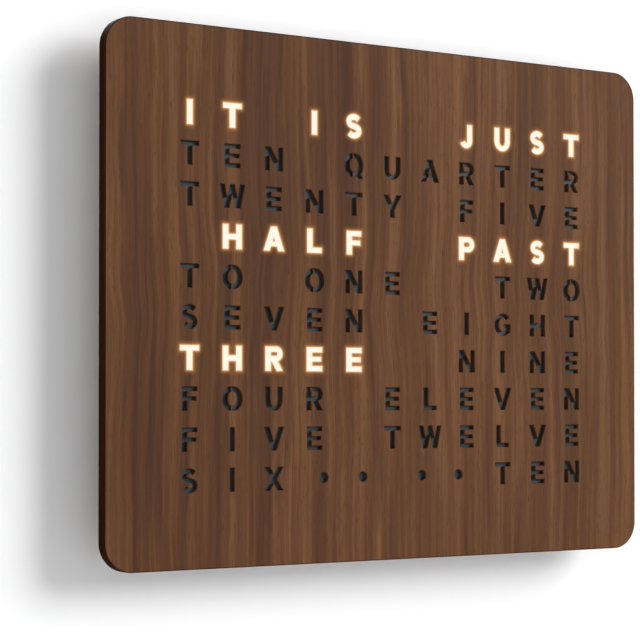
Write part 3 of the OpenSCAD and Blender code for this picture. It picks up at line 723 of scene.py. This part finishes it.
finishes = {
    "plastic": {  # colour, roughness, grain scale, grain strength
        "housing_black": ((0.015, 0.015, 0.0165), 0.50, 900.0, 0.5),
        "gloss_black": ((0.014, 0.014, 0.015), 0.28, 900.0, 0.06),
        "chip_black": ((0.018, 0.018, 0.020), 0.45, 2600.0, 0.20),
        "nylon": ((0.74, 0.72, 0.64), 0.42, 1100.0, 0.08),
        "sensor_amber": ((0.52, 0.26, 0.06), 0.16, 300.0, 0.03),
        "lamp_lens": ((0.86, 0.76, 0.34), 0.30, 1800.0, 0.10),
        "button_red": ((0.34, 0.028, 0.022), 0.30, 900.0, 0.06),
        "button_white": ((0.76, 0.75, 0.71), 0.30, 900.0, 0.06),
        "button_blue": ((0.030, 0.098, 0.27), 0.30, 900.0, 0.06),
        "wire_red": ((0.42, 0.030, 0.020), 0.38, 1600.0, 0.05),
        "wire_black": ((0.015, 0.015, 0.016), 0.38, 1600.0, 0.05),
        "wire_white": ((0.72, 0.70, 0.64), 0.38, 1600.0, 0.05),
        "strip_white": ((0.80, 0.80, 0.76), 0.30, 800.0, 0.05),
        "lamp_board_white": ((0.74, 0.74, 0.72), 0.48, 500.0, 0.08),
    },
    "metal": {  # colour, roughness, brushing across x, y, z
        "shield_metal": ((0.62, 0.63, 0.65), 0.30, (60.0, 900.0, 900.0)),
        "contact_metal": ((0.66, 0.66, 0.65), 0.26, (900.0, 900.0, 120.0)),
        "cell_steel": ((0.60, 0.60, 0.60), 0.24, (700.0, 700.0, 90.0)),
        "can_aluminium": ((0.68, 0.69, 0.71), 0.28, (500.0, 90.0, 500.0)),
        "spring_steel": ((0.55, 0.55, 0.56), 0.26, (900.0, 900.0, 900.0)),
        "zinc_screw": ((0.58, 0.59, 0.61), 0.30, (800.0, 200.0, 800.0)),
        "screw_black": ((0.035, 0.035, 0.038), 0.34, (800.0, 200.0, 800.0)),
    },
    "board": {  # mask colour, colour over copper
        "board_green": ((0.010, 0.070, 0.032), (0.022, 0.130, 0.055)),
        "board_black": ((0.010, 0.011, 0.014), (0.026, 0.028, 0.034)),
    },
    "tracks": (260.0, 0.35, 0.36),  # scale, disorder and width of the boards' copper
    "card": ((0.3, (0.74, 0.73, 0.70)), (0.7, (0.84, 0.83, 0.80))),
}
powder = {
    "peel": (620.0, 3.0, 0.55),     # noises: scale, detail, roughness
    "speck": (2600.0, 1.0, 0.5),
    "cloud": (38.0, 5.0, 0.65),
    "tones": ((0.36, (0.011, 0.0115, 0.013)), (0.64, (0.026, 0.027, 0.030))),
    "dust": (0.042, 0.042, 0.044),
    "dusty": (0.47, 1.4, 0.22),     # where the dust starts in the cloud, its rise, the most there is
    "gloss": 0.12,
    "bump": (0.32, 0.00018),
}


def plasticMaterial(name, colour, roughness, scale, strength):
    shade = tuple((0.95 if max(colour) > 0.5 else 0.84) * c for c in colour)
    gloss = {"Specular IOR Level": 0.32} if max(colour) < 0.05 else {}
    return mottled(name, (22.0, 2.0, 0.5), ((0.32, shade), (0.68, colour)), (scale, 2.0, 0.5),
                   (0.16, roughness - 0.08), (strength, 0.00008), gloss)[0]


def metalMaterial(name, colour, roughness, brushing):
    dull = tuple(0.78 * c for c in colour)
    return mottled(name, (45.0, 3.0, 0.6), ((0.30, dull), (0.66, colour)), (brushing, 3.0, 0.6),
                   (0.20, roughness - 0.08), (0.10, 0.00005), {"Metallic": 1.0})[0]


def boardMaterial(name, mask, overCopper):
    material, tree, shader, place = newMaterial(name)
    scale, disorder, width = finishes["tracks"]
    pattern = addNode(tree, "ShaderNodeTexVoronoi",
                      {"Vector": place, "Scale": scale, "Randomness": disorder}, distance="CHEBYCHEV")
    tracks = calc(tree, "LESS_THAN", pattern.outputs["Distance"], width)
    plug(tree, shader, {"Base Color": mixColour(tree, tracks, mask, overCopper), "Roughness": 0.30})
    addBump(tree, shader, tracks, 0.35, 0.00004)
    return material


def powderMaterial():
    # baked powder coat: leathery orange peel over a black sheet, with a breath of dust
    material, tree, shader, place = newMaterial("powder_coat")
    peel, speck, cloud = (noise(tree, place, *powder[key]) for key in ("peel", "speck", "cloud"))
    both = calc(tree, "MULTIPLY_ADD", peel, 0.6, calc(tree, "MULTIPLY", speck, 0.4))
    start, rise, most = powder["dusty"]
    dusty = clamped(tree, calc(tree, "MULTIPLY", calc(tree, "SUBTRACT", cloud, start), rise), most)
    colour = mixColour(tree, dusty, colourRamp(tree, both, powder["tones"]), powder["dust"])
    rough = calc(tree, "MULTIPLY_ADD", dusty, 0.5, calc(tree, "MULTIPLY_ADD", peel, 0.35, 0.26))
    plug(tree, shader, {"Base Color": colour, "Roughness": rough, "Specular IOR Level": powder["gloss"]})
    addBump(tree, shader, both, *powder["bump"])
    return material


def makeFinishes():
    made = {
        "walnut": woodMaterial("walnut_face", True),
        "walnut_back": woodMaterial("walnut_reverse"),
        "walnut_edge": woodMaterial("walnut_band"),
        "white_card": mottled("white_card", None, finishes["card"], (320.0, 4.0, 0.65), 0.85,
                              (0.25, 0.0001), {})[0],
        "cover_steel": powderMaterial(),
        "smoked_sheet": smokeMaterial(),
    }
    for kind, make in (("plastic", plasticMaterial), ("metal", metalMaterial), ("board", boardMaterial)):
        for slot, values in finishes[kind].items():
            made[slot] = make(slot + "_finish", *values)
    return made


finish = makeFinishes()
slotOf = {part["node"]: part["material_slot"] for part in frame["record"]["subparts"]}
for node, piece in frame["nodes"].items():
    for materialSlot in piece.material_slots:
        materialSlot.material = finish[slotOf[node]]
print("finishes made:", len(finish))

# Slab: lettered face, bridges, smoked sheet and edge veneer


def newPiece(name, mesh, *stands, slot=None, body="clock", second=None):
    # a piece in its slot's finish, shown instead of the CAD nodes that it stands for
    slot = slot or slotOf[stands[0]]
    piece = addObject(name, mesh)
    mesh.materials.clear()
    mesh.materials.append(finish[slot])
    if second:
        mesh.materials.append(second)
    if stands:
        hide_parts(*stands)
    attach(piece, body)
    return piece


veneer = {
    "radius": 22.0,
    "thick": 0.6,
    "round": 0.35,      # radius of its outer edges
    "roundSteps": 3,
}


def makeVeneer():
    low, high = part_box("edge_band")
    thick, edge, turn = veneer["thick"], veneer["round"], quarter(veneer["roundSteps"])
    section = [(-thick, high.y), (-thick, low.y)]
    section += [((math.sin(a) - 1) * edge, low.y + edge * mm * (1 - math.cos(a))) for a in turn]
    section += [((math.cos(a) - 1) * edge, high.y - edge * mm * (1 - math.sin(a))) for a in turn]
    rings = [[(x * mm, y, z * mm) for x, z in roundedLoop(low, high, veneer["radius"], grow)]
             for grow, y in section]
    return ringsMesh("veneer", True, rings)


newPiece("lettered_face", makeLetteredFace(), "face_panel", second=cutEdgeMaterial())
newPiece("letter_bridges", makeBridges(), slot="walnut")
newPiece("smoked_sheet", makeSmokedSheet(), "diffuser_sheet")
newPiece("edge_veneer", makeVeneer(), "edge_band")
print("slab dressed")

# Geometry Nodes: screws on their places, and coil springs


def newTree(name, *sockets):
    tree = bpy.data.node_groups.new(name, "GeometryNodeTree")
    for label, kind in (("Geometry", "Geometry"), *sockets, ("Material", "Material")):
        tree.interface.new_socket(label, in_out="INPUT", socket_type="NodeSocket" + kind)
    tree.interface.new_socket("Geometry", in_out="OUTPUT", socket_type="NodeSocketGeometry")
    return tree, tree.nodes.new("NodeGroupInput").outputs


def finishTree(tree, geometry, given):
    real = addNode(tree, "GeometryNodeRealizeInstances", {0: geometry})
    paint = addNode(tree, "GeometryNodeSetMaterial", {"Geometry": real.outputs[0],
                                                      "Material": given["Material"]})
    addNode(tree, "NodeGroupOutput", {0: paint.outputs[0]})
    return tree


def addSweep(tree, path, radius, sides):
    # a round bar along a curve, with closed ends
    ring = addNode(tree, "GeometryNodeCurvePrimitiveCircle", {"Resolution": sides, "Radius": radius})
    return addNode(tree, "GeometryNodeCurveToMesh", {"Curve": path, "Profile Curve": ring.outputs[0],
                                                     "Fill Caps": True}).outputs[0]


def bakeTree(name, tree, values, seed=None):
    # runs the tree on a seed mesh and keeps the result as a plain mesh
    base = addObject(name + "_seed", seed or bpy.data.meshes.new(name + "_seed"))
    modifier = base.modifiers.new(name, "NODES")
    modifier.node_group = tree
    for item in tree.interface.items_tree:
        if item.in_out == "INPUT" and item.name in values:
            modifier[item.identifier] = values[item.name]
    graph = bpy.context.evaluated_depsgraph_get()
    mesh = bpy.data.meshes.new_from_object(base.evaluated_get(graph), depsgraph=graph)
    base.modifiers.remove(modifier)
    bpy.data.objects.remove(base)
    return mesh


def screwTree():
    tree, given = newTree("screws_on_points", ("Screw", "Object"))
    info = addNode(tree, "GeometryNodeObjectInfo", {"Object": given["Screw"]})
    spread = addNode(tree, "GeometryNodeInstanceOnPoints", {"Points": given["Geometry"],
                                                            "Instance": info.outputs["Geometry"]})
    return finishTree(tree, spread.outputs[0], given)


screws = {
    "steps": 28,
    "recess": (1.55, 0.34, 1.1),   # half length and half width of its cross, and its depth, in mm
    "taper": (0.55, 0.7),          # its floor's share of the length and the width
    # pairs of radius and depth, from the rim of the head's top to the shank's end
    "cover_screws": ((2.85, 0.0), (3.1, 0.12), (1.55, 1.45), (1.25, 1.5), (1.25, 9.9), (0.4, 10.9)),
    "lamp_board_screws": ((1.9, 0.0), (2.5, 0.35), (2.8, 1.0), (2.8, 1.8), (1.25, 1.8), (1.25, 10.2),
                          (0.4, 10.8)),
    "frame_screws": ((2.1, 0.0), (2.85, 0.4), (3.2, 1.2), (3.2, 2.0), (1.45, 2.0), (1.45, 7.4),
                     (0.5, 8.4)),
}


def crossLoop(arm, half):
    oneArm, directions = ((arm, -half), (arm, half), (half, half)), ((1, 0), (0, 1), (-1, 0), (0, -1))
    return [(x * c - z * s, x * s + z * c) for c, s in directions for x, z in oneArm]


def makeScrew(name, profile):
    # head's top at the origin, shank along -Y, cross recess sunk in the head
    arm, half, deep = screws["recess"]
    steps, (shorter, narrower) = screws["steps"], screws["taper"]
    bm = bmesh.new()
    last, mouth = fillBetween(bm, [circleLoop(0, 0, profile[0][0], steps), crossLoop(arm, half)], 0)
    floor = uprightVerts(bm, crossLoop(arm * shorter, half * narrower), -deep * mm)
    bm.faces.new(floor)
    skin(bm, mouth, floor)
    for r, depth in profile[1:]:
        ring = uprightVerts(bm, circleLoop(0, 0, r, steps), -depth * mm)
        skin(bm, last, ring)
        last = ring
    bm.faces.new(last)
    return meshFrom(bm, name)


def looseMiddles(node):
    # middles (x, z) of the separate solids in a CAD node
    piece = frame["nodes"][node]
    bm = bmesh.new()
    bm.from_mesh(piece.data)
    bmesh.ops.remove_doubles(bm, verts=bm.verts, dist=1e-6)
    left, middles = set(bm.verts), []
    while left:
        stack, group = [left.pop()], []
        while stack:
            v = stack.pop()
            group.append(piece.matrix_world @ v.co)
            for other in (e.other_vert(v) for e in v.link_edges):
                if other in left:
                    left.remove(other)
                    stack.append(other)
        xs, zs = [p.x for p in group], [p.z for p in group]
        middles.append(((min(xs) + max(xs)) / 2, (min(zs) + max(zs)) / 2))
    bm.free()
    return sorted(middles)


def placeScrews(tree, name, node):
    # the places are the middles of the node's separate screws, worked out from its own mesh
    template = addObject(name + "_template", makeScrew(name, screws[node]))
    seed = bpy.data.meshes.new(name + "_places")
    seed.from_pydata([(x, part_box(node)[1].y, z) for x, z in looseMiddles(node)], [], [])
    mesh = bakeTree(name, tree, {"Screw": template, "Material": finish[slotOf[node]]}, seed)
    bpy.data.objects.remove(template)
    newPiece(name, mesh, node)
    return len(seed.vertices)


screwPlacer = screwTree()
for name, node in (("countersunk_screws", "cover_screws"), ("pan_screws", "lamp_board_screws"),
                   ("ledge_screws", "frame_screws")):
    print(name, placeScrews(screwPlacer, name, node))

buttons = {
    "names": ("hours", "minutes", "light"),
    "travel": 1.5,
    "roof": 2.0,        # thickness of the chamber's roof, which the spring pushes against
}
springs = {
    "radius": 2.6,
    "wire": 0.35,
    "turns": 6.0,
    "turnSteps": 28,
    "wireSteps": 10,
    "free": 10.0,       # length between flange and roof at rest
    "gap": 0.35,        # of the wire's middle from flange and roof
}


def middleOf(node):
    low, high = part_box(node)
    return (low + high) / 2


def springTree():
    tree, given = newTree("coil_spring", ("Coil Radius", "Float"), ("Wire Radius", "Float"),
                          ("Turns", "Float"), ("Height", "Float"), ("Base", "Vector"))
    spiral = addNode(tree, "GeometryNodeCurveSpiral", {
        "Resolution": springs["turnSteps"], "Start Radius": given["Coil Radius"],
        "End Radius": given["Coil Radius"], "Rotations": given["Turns"], "Height": given["Height"]})
    coil = addSweep(tree, spiral.outputs[0], given["Wire Radius"], springs["wireSteps"])
    move = addNode(tree, "GeometryNodeTransform", {"Geometry": coil, "Translation": given["Base"]})
    return finishTree(tree, move.outputs[0], given)


coilTree = springTree()
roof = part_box("button_bodies")[1].z - buttons["roof"] * mm
reach = springs["free"] - springs["gap"]
for button in buttons["names"]:
    node, middle = button + "_spring", middleOf(button + "_spring")
    values = {"Coil Radius": springs["radius"] * mm, "Wire Radius": springs["wire"] * mm,
              "Turns": springs["turns"], "Height": (reach - springs["gap"]) * mm,
              "Base": Vector((middle.x, middle.y, roof - reach * mm)), "Material": finish[slotOf[node]]}
    coil = newPiece(button + "_coil", smoothSides(bakeTree(button + "_coil", coilTree, values)), node)
    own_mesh(coil)
print("screws and springs made")

# Leads inside the housing: round tubes along the routes of the source

leads = {
    "stub": 0.8,      # straight stretch at a wire's ends, in mm
    "steps": 28,
    "sides": 14,
    "padded": ("lamp_lead",),  # ends flat on a pad, without the second straight stretch
    # piece, radius, and wires; each wire is a chain of curves with four control points
    "supply_lead": ("supply_wire", 0.8, [
        [((-57.2, -8.5, -146.95), (-57.2, -8.5, -135), (-51.5, -6.4, -130), (-51.5, -6.4, -113.9))]]),
    "ground_lead": ("ground_wire", 0.8, [
        [((-52.8, -8.5, -146.95), (-52.8, -8.5, -135), (-48.5, -6.4, -128), (-48.5, -6.4, -113.9))]]),
    "lamp_lead": ("lamp_wire", 1.0, [
        [((-20, -6.4, -113.9), (-20, -6.4, -140), (-50, -12, -134), (-120, -13, -135)),
         ((-120, -13, -135), (-175, -13.6, -135.6), (-211, -10, -135), (-211, -14.9, -135)),
         ((-211, -14.9, -135), (-211, -20.3, -135), (-209.8, -20.1, -135), (-207.2, -19.7, -135))]]),
    "button_leads": ("button_wire", 0.8, [
        [((-1.5 + 3 * i, -6.4, -113.9), (-1.5 + 3 * i, -6.4, -137.9 + 7 * i),
          (x, -8.5, -129.9 + 8 * i), (x, -8.5, -149.95))] for i, x in enumerate((37.5, 62.5, 87.5))]),
    "sensor_lead": ("sensor_wire", 0.9, [
        [((14, -6.4, -46.1), (14, -9, 40), (60, -10, 60), (60, -8.5, 156.45))]]),
}


def wirePoints(chain, straightEnd):
    curves = [[Vector(p) for p in curve] for curve in chain]
    first, second = curves[0][:2]
    points = [first, first + leads["stub"] * (second - first).normalized()]
    for a, b, c, d in curves:
        for t in (i / leads["steps"] for i in range(1, leads["steps"])):
            u = 1 - t
            points.append(u ** 3 * a + 3 * t * u ** 2 * b + 3 * t * t * u * c + t ** 3 * d)
        points.append(d)
    if straightEnd:
        points.insert(-1, d - leads["stub"] * (d - c).normalized())
    return points


def leadTree():
    tree, given = newTree("tube_on_route", ("Radius", "Float"), ("Sides", "Int"))
    path = addNode(tree, "GeometryNodeMeshToCurve", {0: given["Geometry"]})
    return finishTree(tree, addSweep(tree, path.outputs[0], given["Radius"], given["Sides"]), given)


def makeLead(tree, node):
    name, radius, wires = leads[node]
    points, edges, length = [], [], 0.0
    for chain in wires:
        run = wirePoints(chain, node not in leads["padded"])
        edges += [(len(points) + i, len(points) + i + 1) for i in range(len(run) - 1)]
        points += [p * mm for p in run]
        length += sum((b - a).length for a, b in zip(run, run[1:]))
    route = bpy.data.meshes.new(name + "_route")
    route.from_pydata(points, edges, [])
    values = {"Radius": radius * mm, "Sides": leads["sides"], "Material": finish[slotOf[node]]}
    newPiece(name, smoothSides(bakeTree(name, tree, values, route)), node)
    print(node, round(length), "mm")


tubeTree = leadTree()
for node in ("supply_lead", "ground_lead", "lamp_lead", "button_leads", "sensor_lead"):
    makeLead(tubeTree, node)

# Button caps: turned, with a dished end for the fingertip

turned = {
    "steps": 48,
    "sharp": 35,        # degrees
    "bevel": 0.2,       # of the small edges
}
cap = {
    "radius": 3.3,
    "thick": 2.2,
    "round": 0.6,       # radius of the rim
    "dish": (2.3, 0.45, 5),  # radius, depth and steps of the dish
    "plunger": 2.5,
    "flange": (4.0, 1.4),  # radius, thickness
    "stem": (1.2, 6.5),    # radius, length
}


def turnedRings(profile, x, y):
    # rings for pairs of radius and z in mm, from the bottom point on the upright axis to the top one
    return [polarRing(x, y, z, r, turned["steps"] if r else 1) for r, z in profile]


def capProfile(bottom, top):
    r, edge, thick, plunger = (cap[key] for key in ("radius", "round", "thick", "plunger"))
    (dish, depth, steps), bevel = cap["dish"], turned["bevel"]
    (flange, flangeThick), (stem, stemLength) = cap["flange"], cap["stem"]
    upper = top - stemLength
    lower, shoulder = upper - flangeThick, bottom + thick
    profile = [(dish * k / steps, bottom + depth * (1 - (k / steps) ** 2)) for k in range(steps + 1)]
    profile += [(r - edge + edge * math.sin(a), bottom + edge * (1 - math.cos(a))) for a in quarter(6)]
    return profile + [(r, shoulder - bevel), (r - bevel, shoulder), (plunger, shoulder), (plunger, lower),
                      (flange, lower), (flange, upper), (stem, upper), (stem, top - bevel),
                      (stem - bevel, top), (0, top)]


for button in buttons["names"]:
    node = button + "_button"
    (low, high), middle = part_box(node), middleOf(node)
    mesh = ringsMesh(node, False, turnedRings(capProfile(low.z / mm, high.z / mm), middle.x, middle.y))
    newPiece(button + "_cap", smoothSides(mesh, turned["sharp"]), node, body=node)
print("leads and button caps made")

# Rear cover, with broken edges, keyholes, vents and countersinks

cover = {
    "corner": 12.0,
    "edge": 0.35,            # chamfer of the outer edge
    # place on either side of the middle, height, head and slot radius, rise, chamfer
    "keyholes": (150.0, 110.0, 5.0, 2.4, 10.0, 0.3),
    # place, height, length, width, step, number, chamfer
    "vents": (26.0, -80.0, 36.0, 3.0, 8.0, 8, 0.25),
    "sink": (1.7, 1.45),     # hole's radius, depth of the countersink
}


def makeCover():
    low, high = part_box("rear_cover")
    loops, rims = [], []
    across, up, head, slot, rise, chamfer = cover["keyholes"]
    turn = math.degrees(math.acos(slot / head))
    for side in (-1, 1):
        loops.append(arcLoop(side * across, up, head, head, 180 - turn, 360 + turn, 40)
                     + arcLoop(side * across, up + rise, slot, slot, 0, 180, 20))
        rims.append(chamfer)
    across, up, length, wide, step, count, chamfer = cover["vents"]
    run, r = (length - wide) / 2, wide / 2
    for side in (-1, 1):
        for i in range(count):
            z = up - (i - (count - 1) / 2) * step
            loops.append(arcLoop(side * across + run, z, r, r, -90, 90, 12)
                         + arcLoop(side * across - run, z, r, r, 90, 270, 12))
            rims.append(chamfer)
    for x, z in looseMiddles("cover_screws"):
        loops.append(circleLoop(x / mm, z / mm, cover["sink"][0], 36))
        rims.append(cover["sink"][1])
    return cutSheet(roundedLoop(low, high, cover["corner"]), loops, high.y, low.y, cover["edge"], rims)


newPiece("steel_cover", makeCover(), "rear_cover", second=finish["cover_steel"])

# Bushes with a cut thread, and nuts with chamfered corners

bush = {
    "steps": 48,
    "outer": 3.5,
    "bore": 2.65,
    "length": 8.0,
    "pitch": 0.75,
    "pitchSteps": 5,
    "groove": 0.38,      # depth of the thread
    "runOut": 0.5,       # length over which the thread fades at its ends
    "chamber": (5.5, 4.2, 14.5, 1.0, 0.6),  # outer and inner radius, height, floor, bevel
    "eye": 0.01,         # radius at which the roof closes
}
nut = {
    "steps": 72,
    "across": 9.0,
    "hole": (3.55, 0.3),   # radius, bevel
    "corners": ((0.0, 0.99), (0.16, 1.045), (0.34, 1.1), (0.56, 1.16)),  # height, reach in half widths
    "sharp": 30,
}


def threadedBush(x, y, low):
    # one skin from the bore outside, up the thread and the chamber, and back inside
    outer, groove, bore, fade, eye = (bush[key] for key in ("outer", "groove", "bore", "runOut", "eye"))
    wide, inner, tall, floor, bevel = bush["chamber"]
    base = low + bush["length"]
    top = base + tall
    ceiling = top - buttons["roof"]

    def threaded(z):
        def radius(a):
            phase = (z / bush["pitch"] - a / (2 * math.pi)) % 1
            run = min(1.0, (z - low) / fade, max(0.0, (base - z) / fade))
            return outer - groove * (run * abs(1 - 2 * phase) + (1 - run) * float(z < low + 2 * fade))
        return radius

    count = round(bush["length"] / bush["pitch"] * bush["pitchSteps"])
    heights = [low + bush["length"] * k / count for k in range(1, count)]
    stations = [(low, bore), (low, outer - groove)] + [(z, threaded(z)) for z in heights]
    stations += [(base, outer), (base, wide), (top - bevel, wide), (top, wide - bevel), (top, eye),
                 (ceiling, eye), (ceiling, inner), (base + floor, inner), (base + floor, bore)]
    return [polarRing(x, y, z, r, bush["steps"]) for z, r in stations]


def hexNut(x, y, low, high):
    half, (hole, bevel) = nut["across"] / 2, nut["hole"]

    def hexagon(limit):
        turn = math.pi / 6
        return lambda a: min(limit * half, half / math.cos((a + turn) % (2 * turn) - turn))

    stations = [(low + height, hexagon(limit)) for height, limit in nut["corners"]]
    stations += [(high, stations[-1][1]), (high, hole), (low + bevel, hole), (low, hole + bevel)]
    return [polarRing(x, y, z, r, nut["steps"]) for z, r in stations]


axes = [middleOf(button + "_button")[:2] for button in buttons["names"]]
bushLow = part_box("button_bodies")[0].z / mm
nutLow, nutHigh = (corner.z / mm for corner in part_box("button_nuts"))
bushShells = [threadedBush(*axis, bushLow) for axis in axes]
nutShells = [hexNut(*axis, nutLow, nutHigh) for axis in axes]
for name, node, shells in (("threaded_bushes", "button_bodies", bushShells),
                           ("hexagon_nuts", "button_nuts", nutShells)):
    newPiece(name, smoothSides(ringsMesh(name, True, *shells), nut["sharp"]), node)
print("cover, bushes and nuts made")

# The inlet's contact and the light sensor, both turned

contact = {
    "stem": (0.8, 9.0),        # radius and length behind its shoulder
}
sensor = {
    "lens": (2.5, 1.75),       # radius and height of the dome
    "foot": (3.1, 4.0),        # radius and height
    "leg": (0.3, 8.0, 1.27),   # radius, length below the foot, distance from the middle
    "sunk": 0.1,               # how far the legs reach into the foot
}


def roundedEnd(radius, height):
    # quarter of an oval, from just beside the axis out to the full radius
    return [(radius * math.sin(a), height * (1 - math.cos(a))) for a in quarter(8)[1:]]


def makeContact(node):
    (low, high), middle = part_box(node), middleOf(node)
    tip, top, radius = low.z / mm, high.z / mm, (high.x - low.x) / 2 / mm
    (stem, length), bevel = contact["stem"], turned["bevel"]
    shoulder = top - length
    profile = [(0, tip)] + [(r, tip + z) for r, z in roundedEnd(radius, radius)]
    profile += [(radius, shoulder), (stem, shoulder), (stem, top - bevel), (stem - bevel, top), (0, top)]
    mesh = ringsMesh("contact", False, turnedRings(profile, middle.x, middle.y))
    return smoothSides(mesh, turned["sharp"])


def makeSensor(node):
    # foot and dome in the first material, the two legs in the second
    (low, high), (x, y, _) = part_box(node), middleOf(node)
    bottom, top = low.z / mm, high.z / mm
    (radius, dome), (foot, footHeight) = sensor["lens"], sensor["foot"]
    thin, legLength, apart = sensor["leg"]
    base, legTop = bottom + legLength, bottom + legLength + sensor["sunk"]
    body = [(0, base), (foot, base), (foot, base + footHeight), (radius, base + footHeight)]
    body += [(r, top - z) for r, z in reversed(roundedEnd(radius, dome))] + [(0, top)]
    leg = [(0, bottom), (thin, bottom), (thin, legTop), (0, legTop)]
    legs = [turnedRings(leg, x + side * apart * mm, y) for side in (-1, 1)]
    mesh = ringsMesh("sensor", False, turnedRings(body, x, y), *legs)
    bodyFaces = (len(body) - 1) * turned["steps"]
    for polygon in mesh.polygons:
        polygon.material_index = int(polygon.index >= bodyFaces)
    return smoothSides(mesh, turned["sharp"])


newPiece("inlet_contact", makeContact("inlet_pin"), "inlet_pin")
newPiece("sensor_lens", makeSensor("light_sensor"), "light_sensor", second=finish["contact_metal"])
print("contact and sensor made")

# Stage: a pale wall that the camera sees from the front only, and a pale floor

stage = {
    "wall": (0.95, 0.95, 0.955),
    "wallY": 0.0008,
    "lift": (0.05, 0.19),         # the wall's own light for the camera, beside and above the slab
    "liftHeights": (0.195, 0.220),
    "floor": (0.75, 0.75, 0.75),
    "floorZ": -1.2,
    "size": 12.0,
    "ambient": 0.38,
    # strength of each light, and the direction to it
    "lights": {"key": (2.85, (0.71, -0.575, 0.37)), "back": (2.2, (0.25, 0.90, 0.45))},
    "lightAngle": 32,
}


def paleMaterial(name, colour, bounces, lift=None):
    # the camera sees it from its front only; bounces says whether it throws light back
    material, tree, shader, place = newMaterial(name)
    dim = tuple(0.985 * c for c in colour)
    cloud = colourRamp(tree, noise(tree, place, 3.0, 2.0, 0.5), ((0.3, dim), (0.7, colour)))
    plug(tree, shader, {"Base Color": cloud, "Roughness": 0.9, "Specular IOR Level": 0.0})
    if lift:
        start, end = stage["liftHeights"]
        z = addNode(tree, "ShaderNodeSeparateXYZ", {0: place}).outputs["Z"]
        height = calc(tree, "MULTIPLY_ADD", z, 1 / (end - start), -start / (end - start))
        own = colourRamp(tree, height, ((0.0, (lift[0],) * 3), (1.0, (lift[1],) * 3)))
        plug(tree, shader, {"Emission Color": own, "Emission Strength": 1.0})
    rays = tree.nodes.new("ShaderNodeLightPath").outputs["Is Camera Ray"]
    back = tree.nodes.new("ShaderNodeNewGeometry").outputs["Backfacing"]
    front = calc(tree, "MULTIPLY", rays, calc(tree, "SUBTRACT", 1.0, back))
    seen = calc(tree, "MULTIPLY_ADD", calc(tree, "SUBTRACT", 1.0, rays), bounces, front)
    clear = tree.nodes.new("ShaderNodeBsdfTransparent").outputs[0]
    mix = addNode(tree, "ShaderNodeMixShader", {0: seen, 1: clear, 2: shader.outputs[0]})
    plug(tree, tree.nodes["Material Output"], {"Surface": mix.outputs[0]})
    return material


def stagePlane(name, corners, *looks):
    mesh = bpy.data.meshes.new(name)
    mesh.from_pydata(corners, [], [(0, 1, 2, 3)])
    mesh.materials.append(paleMaterial(name, *looks))
    addObject(name, mesh)


def makeStage():
    far, low, back, ambient = (stage[key] for key in ("size", "floorZ", "wallY", "ambient"))
    wall = [(-far, back, low), (far, back, low), (far, back, far), (-far, back, far)]
    floor = [(-far, -far, low), (far, -far, low), (far, far, low), (-far, far, low)]
    stagePlane("pale_wall", wall, stage["wall"], 0.0, stage["lift"])
    stagePlane("pale_floor", floor, stage["floor"], 1.0)
    world = bpy.data.worlds.new("studio")
    bpy.context.scene.world = world
    world.use_nodes = True
    tree = world.node_tree
    # plain white to the camera, in mirrors and through clear things, and dimmer as a light
    rays = tree.nodes.new("ShaderNodeLightPath").outputs
    plain = calc(tree, "ADD", rays["Is Camera Ray"], calc(tree, "ADD", rays["Is Glossy Ray"],
                                                          rays["Is Transmission Ray"]))
    strength = calc(tree, "MULTIPLY_ADD", calc(tree, "MINIMUM", 1.0, plain), 1 - ambient, ambient)
    plug(tree, tree.nodes["Background"], {"Color": (1, 1, 1, 1), "Strength": strength})
    for name, (strength, direction) in stage["lights"].items():
        data = bpy.data.lights.new(name + "_light", "SUN")
        data.energy, data.angle = strength, math.radians(stage["lightAngle"])
        aim(addObject(name + "_light", data), -Vector(direction))
    bpy.context.scene.view_settings.view_transform = "Standard"


makeStage()
print("stage and lights made")
